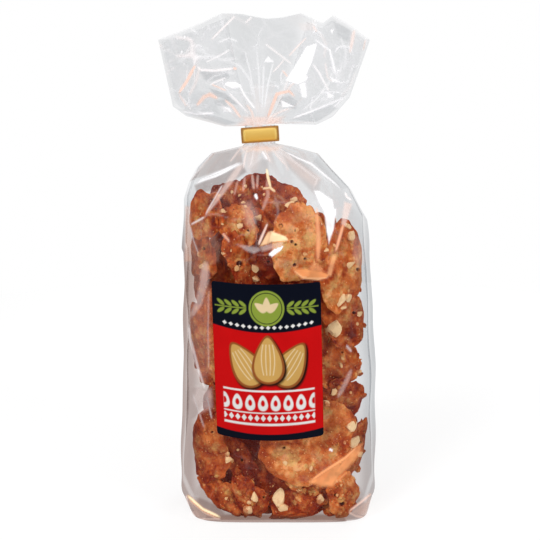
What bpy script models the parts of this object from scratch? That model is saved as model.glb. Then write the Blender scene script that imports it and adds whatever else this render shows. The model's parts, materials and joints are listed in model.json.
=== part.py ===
# Clear film bag of almond biscuits, standing on its block bottom.
# The filled bag is one closed form: a flat base with folded corners, gusseted
# sides, pleated shoulders, a gathered neck and an open, ruffled mouth above it.
# A gold clip rings the neck and a label lies on the front.

import math

import bmesh
import bpy
import numpy as np

mm = 0.001

# One row for each level of the filled part, bottom to top, in millimetres:
# height, middle in X, half width, half depth, squareness of the section.
bodyLevels = (
    (0.0, 4.6, 48.4, 28.6, 5.0),
    (2.5, 4.5, 49.6, 30.6, 4.6),
    (9.0, 4.3, 50.7, 33.2, 4.0),
    (22.0, 4.3, 51.4, 35.4, 3.4),
    (42.0, 4.5, 51.7, 37.0, 3.0),
    (70.0, 4.8, 51.4, 37.4, 2.8),
    (100.0, 4.3, 50.0, 36.8, 2.8),
    (130.0, 3.1, 48.8, 35.2, 2.7),
    (150.0, 2.6, 48.0, 33.2, 2.6),
    (161.0, 1.5, 46.4, 30.8, 2.5),
    (169.0, 0.1, 43.5, 27.6, 2.4),
    (176.0, -1.5, 39.2, 23.8, 2.3),
    (182.5, -2.8, 33.6, 18.8, 2.2),
    (187.5, -3.5, 26.4, 12.8, 2.1),
    (190.6, -4.2, 17.4, 7.2, 2.1),
    (192.2, -5.0, 8.3, 3.2, 2.2),
)
ringPoints = 108
bodyRings = 33

# The neck, straight where the clip holds it.
neckMiddle = -5.0
neckHalfWidth = 8.3
neckHalfDepth = 3.2
neckTop = 201.5
clipTilt = 4.0

# The open mouth above the clip: reach to each side, rim height, flare, wall.
fanLeft = -55.9
fanRight = 49.7
fanHalfDepth = 10.5
spreadLeft = 0.82
spreadRight = 0.68
fanWall = 0.8
fanRings = 9
fanFloor = 0.2
rimLevels = (
    (-1.0, 242.0),
    (-0.8, 247.0),
    (-0.42, 255.6),
    (-0.2, 255.4),
    (0.06, 254.0),
    (0.32, 257.3),
    (0.54, 252.0),
    (0.64, 254.8),
    (0.82, 248.4),
    (1.0, 242.4),
)

# Relief of the film, as depths.
gussetFold = 3.4
shoulderPleat = 1.5
lump = 0.9
cornerFold = 1.1

# The label on the front: middle, size, lean to the left at its top, how far the
# middle of its top and bottom edges hangs down, corner radius, stand-off.
labelMiddle = (-0.9, 89.0)
labelSize = (52.6, 77.0)
labelLean = 2.2
labelSag = (1.2, 2.6)
labelCorner = 1.6
labelGap = 0.35
labelThickness = 0.35

# The gold clip: outer size, hole, raised panel.
clipCentre = 196.7
clipSize = (19.2, 9.4, 7.6)
clipHole = (17.8, 7.4)
clipEdge = 1.1
panelSize = (17.0, 5.8)
panelRise = 0.9

# Moves the whole object so that its footprint's middle is at the origin.
centreShift = (0.2, 0.17)


def smooth(low, high, value):
    # 3 t^2 - 2 t^3 with t = (value - low) / (high - low), held to 0..1
    t = np.clip((value - low) / (high - low), 0.0, 1.0)
    return t * t * (3.0 - 2.0 * t)


def through(xs, ys, at):
    # cubic through the points (xs, ys) with the slopes of their neighbours
    xs = np.asarray(xs, float)
    ys = np.asarray(ys, float)
    step = np.diff(xs)
    rise = np.diff(ys) / step
    slope = np.empty(len(xs))
    slope[0], slope[-1] = rise[0], rise[-1]
    level = rise[:-1] * rise[1:] <= 0.0
    middle = (rise[:-1] * step[1:] + rise[1:] * step[:-1]) / (step[:-1] + step[1:])
    slope[1:-1] = np.where(level, 0.0, middle)
    i = np.clip(np.searchsorted(xs, at, side="right") - 1, 0, len(xs) - 2)
    h = step[i]
    t = (at - xs[i]) / h
    start = ys[i] * (2 * t**3 - 3 * t**2 + 1) + slope[i] * h * (t**3 - 2 * t**2 + t)
    end = ys[i + 1] * (3 * t**2 - 2 * t**3) + slope[i + 1] * h * (t**3 - t**2)
    return start + end


def evenRing(a, b, n, count):
    # |p|^n + |q|^n = 1 walked in equal steps of the ring (a p, b q), from the
    # left end along the front (q below 0) to the right end and round the back
    angle = np.linspace(0.0, 2.0 * math.pi, 1441)
    c, s = np.cos(angle), np.sin(angle)
    p = -np.sign(c) * np.abs(c) ** (2.0 / n)
    q = -np.sign(s) * np.abs(s) ** (2.0 / n)
    walk = np.concatenate(([0.0], np.cumsum(np.hypot(a * np.diff(p), b * np.diff(q)))))
    # each quarter gets the same count, so that the end points stay points
    quarter = count // 4
    marks = np.interp(np.arange(5) * 0.5 * math.pi, angle, walk)
    at = [np.linspace(marks[k], marks[k + 1], quarter + 1)[:-1] for k in range(4)]
    at = np.concatenate(at)
    return np.interp(at, walk, p), np.interp(at, walk, q)


def bodyLevel(z):
    # the row of bodyLevels at height z
    table = np.array(bodyLevels)
    return [through(table[:, 0], table[:, k], z) for k in range(1, 5)]


def bodyHeights(count):
    # heights at equal steps along the side's outline, closer near the base
    table = np.array(bodyLevels)
    z = np.linspace(0.0, table[-1, 0], 4000)
    wide = through(table[:, 0], table[:, 2], z)
    deep = through(table[:, 0], table[:, 3], z)
    step = np.hypot(np.diff(z), 0.7 * np.hypot(np.diff(wide), np.diff(deep)))
    walk = np.concatenate(([0.0], np.cumsum(step)))
    share = np.linspace(0.0, 1.0, count)
    share = share * (0.55 + 0.45 * share)
    return np.interp(share * walk[-1], walk, z)


def labelMask(x, z):
    # 1 where the label lies, fading to 0 within 12 mm around it
    across = np.abs(x - labelMiddle[0]) - labelSize[0] / 2
    along = np.abs(z - labelMiddle[1]) - labelSize[1] / 2
    return 1.0 - smooth(0.0, 12.0, np.maximum(across, along))


def relief(p, q, x, z):
    # how far the film stands out from the plain section at a ring's point
    angle = np.arctan2(q, p)
    filled = smooth(6.0, 30.0, z) * (1.0 - smooth(150.0, 172.0, z))
    bumps = np.sin(3 * angle + z / 13.0 + 0.7) * np.sin(z / 9.5 + 2.0 * np.cos(angle))
    bumps = bumps + 0.6 * np.sin(5 * angle - z / 8.0 + 2.1)
    front = np.where(q < 0.0, labelMask(x, z), 0.0)
    out = lump * bumps * filled * (1.0 - front) * (1.0 - 0.6 * np.abs(p) ** 3)
    # gusset fold: a soft groove down the middle of each side
    groove = smooth(14.0, 50.0, z) * (1.0 - 0.5 * smooth(176.0, 192.0, z))
    out = out - gussetFold * groove * np.exp(-((q / 0.26) ** 2)) * np.abs(p)
    # pleats that run down from the neck
    fade = smooth(142.0, 180.0, z) * (1.0 - 0.86 * smooth(184.0, 192.2, z))
    pleats = np.sin(13 * angle + 0.8) + 0.7 * np.sin(21 * angle + 2.6 * np.sin(angle))
    pleats = pleats + 0.6 * np.sin(8 * angle + 1.9)
    out = out + shoulderPleat * 0.5 * fade * pleats
    # folded corners of the base: a ridge from the side down to the front edge,
    # at z = foldTop * (1 - distance in from the corner / foldRun)
    foldTop, foldRun = 17.0, 20.0
    inward = (1.0 - np.abs(p)) * 52.0
    line = foldTop * (1.0 - inward / foldRun)
    ridge = np.exp(-(((z - line) / 3.2) ** 2)) * (line > -4.0) * smooth(0.3, 0.7, np.abs(q))
    return out + cornerFold * ridge * smooth(0.0, 3.0, z)


def bodyRing(z):
    # X and Y of one ring of the filled part at height z
    middle, a, b, n = [float(v) for v in bodyLevel(z)]
    p, q = evenRing(a, b, n, ringPoints)
    x = middle + a * p
    y = b * q
    # outward direction of the section: (n p^(n-1) / a, n q^(n-1) / b)
    nx = np.sign(p) * np.abs(p) ** (n - 1.0) / a
    ny = np.sign(q) * np.abs(q) ** (n - 1.0) / b
    size = np.hypot(nx, ny)
    out = relief(p, q, x, z)
    return np.stack([x + out * nx / size, y + out * ny / size, np.full(len(x), z)], 1)


def neckRing(z):
    # the gathered film, tilted with the clip towards its top
    p, q = evenRing(neckHalfWidth, neckHalfDepth, 2.2, ringPoints)
    lift = math.tan(math.radians(clipTilt)) * neckHalfWidth * p
    share = smooth(194.0, neckTop, z)
    return np.stack([neckMiddle + neckHalfWidth * p, neckHalfDepth * q, z + lift * share], 1)


def fanRing(t, wall):
    # t runs from the clip (0) to the rim (1); wall is taken off on the inside
    depth = neckHalfDepth + (fanHalfDepth - neckHalfDepth) * smooth(0.0, 0.9, t)
    p, q = evenRing(52.0, depth, 2.4, ringPoints)
    rimMiddle = (fanLeft + fanRight) / 2
    rimHalf = (fanRight - fanLeft) / 2
    # the sides spread at once above the clip, the left more, and then rise
    side = (1.0 + p) / 2
    atOnce = spreadLeft + (spreadRight - spreadLeft) * side
    spread = atOnce * (1.0 - np.exp(-t / (0.068 - 0.018 * side))) + (1.0 - atOnce) * t
    slow = t + (spread - t) * (0.35 + 0.65 * np.abs(p) ** 1.5)
    startX = neckMiddle + neckHalfWidth * p
    rimX = rimMiddle + rimHalf * p
    x = startX + (rimX - startX) * slow
    x = x - wall * p
    table = np.array(rimLevels)
    rimZ = through(table[:, 0], table[:, 1], p)
    # front and back rims rise and dip in turn
    rimZ = rimZ - 1.1 * (1.0 + np.sin(7.0 * p + 1.4 * q)) * (1.0 - p**4) * np.abs(q)
    startZ = neckTop + math.tan(math.radians(clipTilt)) * neckHalfWidth * p * (1.0 - t)
    dip = (1.1 + 0.5 * side) * (t / 0.035) * math.exp(1.0 - t / 0.035) * np.abs(p) ** 3
    z = startZ + (rimZ - startZ) * t - dip
    # ruffles grow towards the rim; front and back differ
    grow = t**0.8 * (1.0 - p**6)
    common = 3.4 * np.sin(5.2 * p + 0.6) + 2.2 * np.sin(9.7 * p + 2.0)
    frontWave = 1.9 * np.sin(15.0 * p + 0.4) + 1.0 * np.sin(27.0 * p)
    backWave = 1.9 * np.sin(13.0 * p + 2.4) + 1.0 * np.sin(24.0 * p + 1.0)
    wave = common + frontWave * (1.0 - q) / 2 + backWave * (1.0 + q) / 2
    y = (depth - wall) * q + grow * wave
    return np.stack([x, y, z], 1)


def skin(name, rings, capStart, capEnd):
    # a closed loft over rings of equal counts; a cap is "flat" or "strip"
    count = len(rings[0])
    points = np.concatenate(rings)
    mesh = bmesh.new()
    verts = [mesh.verts.new(point) for point in points * mm]
    for k in range(len(rings) - 1):
        for j in range(count):
            a = k * count + j
            b = k * count + (j + 1) % count
            mesh.faces.new((verts[a], verts[b], verts[b + count], verts[a + count]))
    for cap, first, turn in ((capStart, 0, True), (capEnd, len(points) - count, False)):
        ring = verts[first : first + count]
        if cap == "flat":
            mesh.faces.new(ring[::-1] if turn else ring)
            continue
        for j in range(count // 2):
            quad = [ring[j], ring[j + 1], ring[-j - 1], ring[-j % count]]
            quad = [v for i, v in enumerate(quad) if v not in quad[:i]]
            mesh.faces.new(quad[::-1] if turn else quad)
    bmesh.ops.recalc_face_normals(mesh, faces=mesh.faces)
    return finish(name, mesh)


def finish(name, mesh):
    data = bpy.data.meshes.new(name)
    mesh.to_mesh(data)
    mesh.free()
    made = bpy.data.objects.new(name, data)
    made.location = (centreShift[0] * mm, centreShift[1] * mm, 0.0)
    return made


def material(name, colour, roughness, metallic, alpha=1.0):
    made = bpy.data.materials.new(name)
    made.use_nodes = True
    shader = made.node_tree.nodes["Principled BSDF"]
    shader.inputs["Base Color"].default_value = (*colour, 1.0)
    shader.inputs["Roughness"].default_value = roughness
    shader.inputs["Metallic"].default_value = metallic
    shader.inputs["Alpha"].default_value = alpha
    made.diffuse_color = (*colour, alpha)
    return made


def frontAt(x, z):
    # Y of the plain front at (x, z): -b (1 - |p|^n)^(1/n)
    middle, a, b, n = bodyLevel(z)
    p = np.clip((x - middle) / a, -0.999, 0.999)
    return -b * (1.0 - np.abs(p) ** n) ** (1.0 / n)


def makeBag():
    rings = [bodyRing(z) for z in bodyHeights(bodyRings)[:-1]]
    rings += [neckRing(z) for z in (bodyLevels[-1][0], 194.4, neckTop)]
    levels = [(k / fanRings) ** 2.1 for k in range(1, fanRings + 1)]
    rings += [fanRing(t, 0.0) for t in levels]
    inside = [t for t in levels[::-1] if t > fanFloor]
    rings += [fanRing(t, fanWall) for t in inside + [fanFloor]]
    return skin("bag", rings, "flat", "strip")


def makeLabel():
    # a grid over the front, laid along the film, then given its thickness
    columns, rows = 15, 21
    u = np.linspace(-0.5, 0.5, columns)
    v = np.linspace(-0.5, 0.5, rows)
    across, along = np.meshgrid(u * labelSize[0], v * labelSize[1])
    # rounded corners: points past the corner's circle move onto it
    dx = np.abs(across) - (labelSize[0] / 2 - labelCorner)
    dz = np.abs(along) - (labelSize[1] / 2 - labelCorner)
    reach = np.where((dx > 0) & (dz > 0), np.hypot(dx, dz), 0.0)
    scale = np.where(reach > labelCorner, labelCorner / np.maximum(reach, 1e-9), 1.0)
    across = np.where(scale < 1.0, np.sign(across) * (np.abs(across) - dx * (1 - scale)), across)
    along = np.where(scale < 1.0, np.sign(along) * (np.abs(along) - dz * (1 - scale)), along)
    x = labelMiddle[0] + across - labelLean * along / labelSize[1]
    sag = labelSag[1] + (labelSag[0] - labelSag[1]) * (0.5 + along / labelSize[1])
    z = labelMiddle[1] + along - sag * (1.0 - (2.0 * across / labelSize[0]) ** 2)
    y = frontAt(x, z)
    step = 0.5
    slopeX = (frontAt(x + step, z) - frontAt(x - step, z)) / (2 * step)
    slopeZ = (frontAt(x, z + step) - frontAt(x, z - step)) / (2 * step)
    normal = np.stack([slopeX, -np.ones_like(x), slopeZ], -1)
    normal = normal / np.linalg.norm(normal, axis=-1, keepdims=True)
    points = np.stack([x, y, z], -1) + normal * labelGap
    mesh = bmesh.new()
    verts = [[mesh.verts.new(points[r, c] * mm) for c in range(columns)] for r in range(rows)]
    for r in range(rows - 1):
        for c in range(columns - 1):
            corners = (verts[r][c], verts[r][c + 1], verts[r + 1][c + 1], verts[r + 1][c])
            mesh.faces.new(corners)
    made = finish("label", mesh)
    thick = made.modifiers.new("thickness", "SOLIDIFY")
    thick.thickness = labelThickness * mm
    thick.offset = 1.0
    return made


def block(name, size, centre, edge, steps, collection):
    # a box of the given size with its edges rounded
    mesh = bmesh.new()
    bmesh.ops.create_cube(mesh, size=1.0)
    for vert in mesh.verts:
        vert.co = [vert.co[k] * size[k] * mm for k in range(3)]
    data = bpy.data.meshes.new(name)
    mesh.to_mesh(data)
    mesh.free()
    made = bpy.data.objects.new(name, data)
    made.location = [c * mm for c in centre]
    rounded = made.modifiers.new("edges", "BEVEL")
    rounded.width = edge * mm
    rounded.segments = steps
    rounded.limit_method = "NONE"
    collection.objects.link(made)
    return made


def makeClip(parts, cutters):
    x, y = neckMiddle + centreShift[0], centreShift[1]
    tilt = (0.0, math.radians(-clipTilt), 0.0)
    clip = block("clip", clipSize, (x, y, clipCentre), clipEdge, 3, parts)
    clip.rotation_euler = tilt
    hole = (clipHole[0], clipHole[1], clipSize[2] * 3)
    cutter = block("clip_hole", hole, (x, y, clipCentre), 2.6, 4, cutters)
    cutter.rotation_euler = tilt
    # the raised panel: y = -rise (1 - (2u)^4) (1 - (2v)^4) over the front
    panel = bmesh.new()
    bmesh.ops.create_grid(panel, x_segments=12, y_segments=6, size=0.5)
    for vert in panel.verts:
        u, v = vert.co.x, vert.co.y
        rise = panelRise * (1 - (2 * u) ** 4) * (1 - (2 * v) ** 4)
        front = -clipSize[1] / 2 - rise + 0.1
        vert.co = (u * panelSize[0] * mm, front * mm, v * panelSize[1] * mm)
    data = bpy.data.meshes.new("clip_panel")
    panel.to_mesh(data)
    panel.free()
    raised = bpy.data.objects.new("clip_panel", data)
    raised.location = (x * mm, y * mm, clipCentre * mm)
    raised.rotation_euler = tilt
    thick = raised.modifiers.new("thickness", "SOLIDIFY")
    thick.thickness = 1.5 * mm
    thick.offset = -1.0
    cutters.objects.link(raised)
    for other, operation in ((raised, "UNION"), (cutter, "DIFFERENCE")):
        joined = clip.modifiers.new(operation.lower(), "BOOLEAN")
        joined.operation = operation
        joined.object = other
        joined.solver = "EXACT"
        other.hide_render = True
        other.display_type = "WIRE"
    return clip


def main():
    for old in list(bpy.data.objects):
        bpy.data.objects.remove(old, do_unlink=True)
    parts = bpy.data.collections.new("almond_biscuit_bag")
    cutters = bpy.data.collections.new("cutters")
    for collection in (parts, cutters):
        bpy.context.scene.collection.children.link(collection)
    bag = makeBag()
    label = makeLabel()
    for made in (bag, label):
        parts.objects.link(made)
    clip = makeClip(parts, cutters)
    bag.data.materials.append(material("clear_film", (0.55, 0.3, 0.19), 0.12, 0.0, 0.5))
    label.data.materials.append(material("label_paper", (0.58, 0.01, 0.01), 0.35, 0.0))
    clip.data.materials.append(material("gold_clip", (0.86, 0.5, 0.11), 0.3, 0.9))
    for made in (bag, label, clip):
        made.data.shade_smooth()
        made.data.set_sharp_from_angle(angle=math.radians(40.0))


main()
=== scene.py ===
import json
import math

import bpy
import numpy as np
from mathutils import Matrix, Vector

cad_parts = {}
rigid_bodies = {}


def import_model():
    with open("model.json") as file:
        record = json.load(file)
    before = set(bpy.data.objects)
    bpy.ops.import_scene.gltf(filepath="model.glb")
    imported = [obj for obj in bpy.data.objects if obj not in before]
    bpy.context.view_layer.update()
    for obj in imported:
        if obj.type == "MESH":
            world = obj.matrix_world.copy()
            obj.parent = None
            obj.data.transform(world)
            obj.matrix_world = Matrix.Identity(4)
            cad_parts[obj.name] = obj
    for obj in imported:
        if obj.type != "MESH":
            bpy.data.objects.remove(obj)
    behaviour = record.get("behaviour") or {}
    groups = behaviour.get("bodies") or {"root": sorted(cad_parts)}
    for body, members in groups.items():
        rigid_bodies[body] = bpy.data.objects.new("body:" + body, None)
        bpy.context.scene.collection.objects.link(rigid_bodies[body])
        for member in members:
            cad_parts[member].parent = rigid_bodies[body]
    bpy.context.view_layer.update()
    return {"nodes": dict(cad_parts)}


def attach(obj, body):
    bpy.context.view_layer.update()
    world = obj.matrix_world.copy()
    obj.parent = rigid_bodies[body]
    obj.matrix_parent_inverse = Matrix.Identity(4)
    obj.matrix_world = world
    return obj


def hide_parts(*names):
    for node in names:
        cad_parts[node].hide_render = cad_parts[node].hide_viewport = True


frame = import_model()
print("frame loaded:", sorted(frame["nodes"]))

metre = 0.001
fullTurn = 2.0 * math.pi
shift = np.array([0.2, 0.17, 0.0])  # from the bag's own middle to the model's origin

# Where the photograph was taken from: millimetres, degrees, pixels of its square frame.
viewPoint = {"distance": 480.0, "height": 215.0, "pitch": 10.4, "focal": 939.0, "frame": 540.0}


def toPixel(points):
    # pixel = frame / 2 + focal * (right, -up) / depth
    pitch, half = math.radians(viewPoint["pitch"]), viewPoint["frame"] / 2
    away = points - np.array([0.0, -viewPoint["distance"], viewPoint["height"]])
    depth = away[..., 1] * math.cos(pitch) - away[..., 2] * math.sin(pitch)
    up = away[..., 1] * math.sin(pitch) + away[..., 2] * math.cos(pitch)
    scale = viewPoint["focal"] / depth
    return half + scale * away[..., 0], half - scale * up, depth


def fromPixel(px, py, y):
    # the point of the line of sight through a pixel where it meets the depth y
    pitch, half = math.radians(viewPoint["pitch"]), viewPoint["frame"] / 2
    right, up = (px - half) / viewPoint["focal"], (half - py) / viewPoint["focal"]
    ahead = math.cos(pitch) + up * math.sin(pitch)
    rise = up * math.cos(pitch) - math.sin(pitch)
    reach = (y + viewPoint["distance"]) / ahead
    return np.array([right * reach, y, viewPoint["height"] + rise * reach])


def smooth(low, high, value):
    # 3 t^2 - 2 t^3 with t = (value - low) / (high - low), held to 0..1
    t = np.clip((value - low) / (high - low), 0.0, 1.0)
    return t * t * (3.0 - 2.0 * t)


def fade(low, high, value):
    # 1 - smooth: 1 below low, 0 above high
    return 1.0 - smooth(low, high, value)


def bell(value, width):
    # exp(-(value / width)^2)
    return np.exp(-((value / width) ** 2))


def signed(value, power):
    # |value|^power with the value's own sign
    return np.sign(value) * np.abs(value) ** power


def vec(x, y, z):
    # three arrays or numbers as the coordinates of points
    return np.stack(np.broadcast_arrays(x, y, z), -1)


def unit(ways):
    # vectors made 1 long
    return ways / np.maximum(np.linalg.norm(ways, axis=-1, keepdims=True), 1e-9)


def walked(*steps):
    # way gone at each point of a path: the sum of the lengths of its steps so far
    return np.concatenate(([0.0], np.cumsum(np.hypot(*steps))))


def through(xs, ys, at):
    # cubic through the points (xs, ys) with the slopes of their neighbours
    step = np.diff(xs)
    rise = np.diff(ys) / step
    slope = np.empty(len(xs))
    slope[0], slope[-1] = rise[0], rise[-1]
    level = rise[:-1] * rise[1:] <= 0.0
    middle = (rise[:-1] * step[1:] + rise[1:] * step[:-1]) / (step[:-1] + step[1:])
    slope[1:-1] = np.where(level, 0.0, middle)
    i = np.clip(np.searchsorted(xs, at, side="right") - 1, 0, len(xs) - 2)
    h = step[i]
    t = (at - xs[i]) / h
    start = ys[i] * (2 * t**3 - 3 * t**2 + 1) + slope[i] * h * (t**3 - 2 * t**2 + t)
    end = ys[i + 1] * (3 * t**2 - 2 * t**3) + slope[i + 1] * h * (t**3 - t**2)
    return start + end


# Large odd numbers that scatter whole-number points into chance numbers.
scatter = {"axes": (73856093, 19349663, 83492791), "seed": 668265263, "stir": (0x45D9F3B, 0x27D4EB2F)}
bits32, bits24 = 0xFFFFFFFF, 0xFFFFFF


def lattice(x, y, z, seed):
    # a fixed number from 0 to 1 for each whole-number point
    fx, fy, fz = scatter["axes"]
    n = ((x * fx) ^ (y * fy) ^ (z * fz) ^ (seed * scatter["seed"])) & bits32
    for factor in scatter["stir"]:
        n = ((n ^ (n >> 16)) * factor) & bits32
    return ((n ^ (n >> 15)) & bits24) / float(bits24)


def softNoise(points, size, seed):
    # corner numbers of a lattice blended by 6 t^5 - 15 t^4 + 10 t^3, from -1 to 1
    q = points / size
    base = np.floor(q).astype(np.int64)
    t = q - base
    t = t * t * t * (t * (t * 6.0 - 15.0) + 10.0)
    total = 0.0
    for corner in range(8):
        step = (corner & 1, (corner >> 1) & 1, corner >> 2)
        weight = 1.0
        for k in range(3):
            weight = weight * (t[..., k] if step[k] else 1 - t[..., k])
        total = total + weight * lattice(*(base[..., k] + step[k] for k in range(3)), seed)
    return total * 2.0 - 1.0


def flatNoise(u, v, size, seed):
    # the same on a sheet
    return softNoise(vec(u, v, 0.0), size, seed)


def roughNoise(points, size, seed, layers):
    # soft noise at sizes s, s/2, s/4 ... weighted 1, 1/2, 1/4 ...
    total = 0.0
    for k in range(layers):
        total = total + softNoise(points + 7.3 * k, size / 2**k, seed + k) / 2**k
    return total / (2.0 - 2.0 ** (1 - layers))


def cells(points, size, seed):
    # distance to the nearest feature point in cells, and that point's own number
    q = points / size
    base = np.floor(q).astype(np.int64)
    t = q - base
    nearest = np.full(t.shape[:-1], 9.0)
    mark = np.zeros_like(nearest)
    for step in range(27):
        d = (step % 3 - 1, step // 3 % 3 - 1, step // 9 - 1)
        cell = [base[..., k] + d[k] for k in range(3)]
        gap = 0.0
        for k in range(3):
            gap = gap + (d[k] + lattice(*cell, seed + k) - t[..., k]) ** 2
        nearer = gap < nearest
        mark = np.where(nearer, lattice(*cell, seed + 5), mark)
        nearest = np.where(nearer, gap, nearest)
    return np.sqrt(nearest), mark


def facets(u, v, size, seed):
    # a sheet of flat triangles: heights at the corners of a bent lattice, joined by planes,
    # from -1 to 1, and the distance to the nearest fold between them
    bent = [w + 0.45 * size * flatNoise(u, v, 2.3 * size, seed + k) for w, k in ((u, 31), (v, 37))]
    u, v = bent
    a, b = (0.93 * u + 0.37 * v) / size, (0.93 * v - 0.37 * u) / size
    i, j = np.floor(a).astype(np.int64), np.floor(b).astype(np.int64)
    s, t = a - i, b - j
    h00, h10 = lattice(i, j, 0, seed), lattice(i + 1, j, 0, seed)
    h01, h11 = lattice(i, j + 1, 0, seed), lattice(i + 1, j + 1, 0, seed)
    under = s + t < 1.0
    low = h00 + (h10 - h00) * s + (h01 - h00) * t
    high = h11 + (h01 - h11) * (1.0 - s) + (h10 - h11) * (1.0 - t)
    fold = np.minimum(np.where(under, s, 1.0 - s), np.where(under, t, 1.0 - t))
    fold = np.minimum(fold, np.abs(1.0 - s - t) / 1.41)
    return np.where(under, low, high) * 2.0 - 1.0, fold * size


def gridFaces(rows, columns, wrap, start=0):
    # quads of a grid of points, wound to face outwards
    r = np.arange(rows - 1)[:, None]
    c = np.arange(columns if wrap else columns - 1)[None, :]
    a = start + r * columns + c
    b = start + r * columns + (c + 1) % columns
    return np.stack([a, b, b + columns, a + columns], -1).reshape(-1, 4)


def gridNormals(points, wrap):
    # cross product of the ways along the columns and the rows
    du = np.gradient(points, axis=1)
    if wrap:
        du = np.roll(points, -1, 1) - np.roll(points, 1, 1)
    return unit(np.cross(du, np.gradient(points, axis=0)))


def newObject(name, data):
    thing = bpy.data.objects.new(name, data)
    bpy.context.scene.collection.objects.link(thing)
    return thing


def makePiece(name, points, faces, values):
    # points in millimetres, faces as arrays of 3 or 4 corners, values for each point
    mesh = bpy.data.meshes.new(name)
    mesh.vertices.add(len(points))
    mesh.vertices.foreach_set("co", ((points + shift) * metre).astype(np.float32).ravel())
    corners = np.concatenate([f.ravel() for f in faces]).astype(np.int32)
    sizes = np.concatenate([np.full(len(f), f.shape[1]) for f in faces])
    starts = np.concatenate(([0], np.cumsum(sizes)[:-1])).astype(np.int32)
    mesh.loops.add(len(corners))
    mesh.loops.foreach_set("vertex_index", corners)
    mesh.polygons.add(len(sizes))
    mesh.polygons.foreach_set("loop_start", starts)
    mesh.update(calc_edges=True)
    mesh.polygons.foreach_set("use_smooth", np.ones(len(sizes), bool))
    for key, value in values.items():
        kind, field = ("FLOAT", "value") if value.ndim == 1 else ("FLOAT_COLOR", "color")
        layer = mesh.attributes.new(key, kind, "POINT")
        layer.data.foreach_set(field, value.astype(np.float32).ravel())
    mesh.validate()
    piece = newObject(name, mesh)
    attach(piece, "root")
    return piece


class Wire:
    # a socket in a material, on which plain sums add Math nodes
    def __init__(self, paint, socket):
        self.paint = paint
        self.socket = socket

    def math(self, operation, *others):
        inputs = dict(enumerate((self,) + others))
        return self.paint.add("ShaderNodeMath", {"operation": operation}, inputs)

    def __add__(self, other):
        return self.math("ADD", other)

    def __mul__(self, other):
        return self.math("MULTIPLY", other)

    def __sub__(self, other):
        return self.math("SUBTRACT", other)

    def __rsub__(self, other):
        return self.paint.add("ShaderNodeMath", {"operation": "SUBTRACT"}, {0: other, 1: self})

    __radd__ = __add__
    __rmul__ = __mul__

    def held(self):
        return self.paint.add("ShaderNodeClamp", {}, {"Value": self})

    def step(self, low, high):
        # 0 below low, 1 above high, smooth between
        settings = {"interpolation_type": "SMOOTHSTEP"}
        return self.paint.add("ShaderNodeMapRange", settings, {"Value": self, 1: low, 2: high})


class Paint:
    # the nodes of one material, or of the sky
    def __init__(self, owner):
        owner.use_nodes = True
        self.owner = owner
        self.tree = owner.node_tree
        self.tree.nodes.clear()

    def add(self, kind, settings=None, inputs=None, output=0):
        node = self.tree.nodes.new(kind)
        for key, value in (settings or {}).items():
            if key == "stops":
                self.setStops(node.color_ramp, value)
            else:
                setattr(node, key, value)
        for key, value in (inputs or {}).items():
            self.feed(node.inputs[key], value)
        return Wire(self, node.outputs[output]) if node.outputs else None

    def setStops(self, ramp, stops):
        while len(ramp.elements) < len(stops):
            ramp.elements.new(0.5)
        for element, (place, colour) in zip(ramp.elements, stops):
            element.position = place
            element.color = (*colour, 1.0)

    def feed(self, socket, value):
        if isinstance(value, Wire):
            self.tree.links.new(value.socket, socket)
        elif isinstance(value, tuple) and len(value) == 3 and socket.type == "RGBA":
            socket.default_value = (*value, 1.0)
        else:
            socket.default_value = value

    def value(self, name, output="Fac"):
        # a number kept on the mesh for each point, or with output Color a colour
        return self.add("ShaderNodeAttribute", {"attribute_name": name}, {}, output)

    def grainy(self, kind, size, more):
        # a pattern in object coordinates; its size is in millimetres
        place = self.add("ShaderNodeTexCoord", {}, {}, "Object")
        return self.add(kind, {}, {"Vector": place, "Scale": 1.0 / (size * metre), **more})

    def noise(self, size, detail=3.0, roughness=0.55):
        return self.grainy("ShaderNodeTexNoise", size, {"Detail": detail, "Roughness": roughness})

    def voronoi(self, size):
        return self.grainy("ShaderNodeTexVoronoi", size, {})

    def mix(self, share, first, second):
        inputs = {"Factor": share, 6: first, 7: second}
        return self.add("ShaderNodeMix", {"data_type": "RGBA"}, inputs, 2)

    def blend(self, share, first, second):
        return self.add("ShaderNodeMixShader", {}, {0: share, 1: first, 2: second})

    def bump(self, height, distance, strength):
        inputs = {"Height": height, "Distance": distance * metre, "Strength": strength}
        return self.add("ShaderNodeBump", {}, inputs)

    def solid(self, base, rough, bump, more):
        # a Principled shader; a glow among the rest has the base's own colour
        inputs = {"Base Color": base, "Roughness": rough, "Normal": bump, **more}
        if "Emission Strength" in more:
            inputs["Emission Color"] = base
        return self.add("ShaderNodeBsdfPrincipled", {}, inputs)

    def finish(self, shader):
        self.add("ShaderNodeOutputMaterial", {}, {"Surface": shader})
        return self.owner


def newPaint(name):
    return Paint(bpy.data.materials.new(name))


# The film. These are the sizes of the bag's solid, repeated: at each height the middle,
# half width, half depth and squareness.
filmLevels = np.array([
    (0.0, 4.6, 48.4, 28.6, 5.0), (2.5, 4.5, 49.6, 30.6, 4.6), (9.0, 4.3, 50.7, 33.2, 4.0),
    (22.0, 4.3, 51.4, 35.4, 3.4), (42.0, 4.5, 51.7, 37.0, 3.0), (70.0, 4.8, 51.4, 37.4, 2.8),
    (100.0, 4.3, 50.0, 36.8, 2.8), (130.0, 3.1, 48.8, 35.2, 2.7), (150.0, 2.6, 48.0, 33.2, 2.6),
    (161.0, 1.5, 46.4, 30.8, 2.5), (169.0, 0.1, 43.5, 27.6, 2.4), (176.0, -1.5, 39.2, 23.8, 2.3),
    (182.5, -2.8, 33.6, 18.8, 2.2), (187.5, -3.5, 26.4, 12.8, 2.1), (190.6, -4.2, 17.4, 7.2, 2.1),
    (192.2, -5.0, 8.3, 3.2, 2.2),
])
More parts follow.
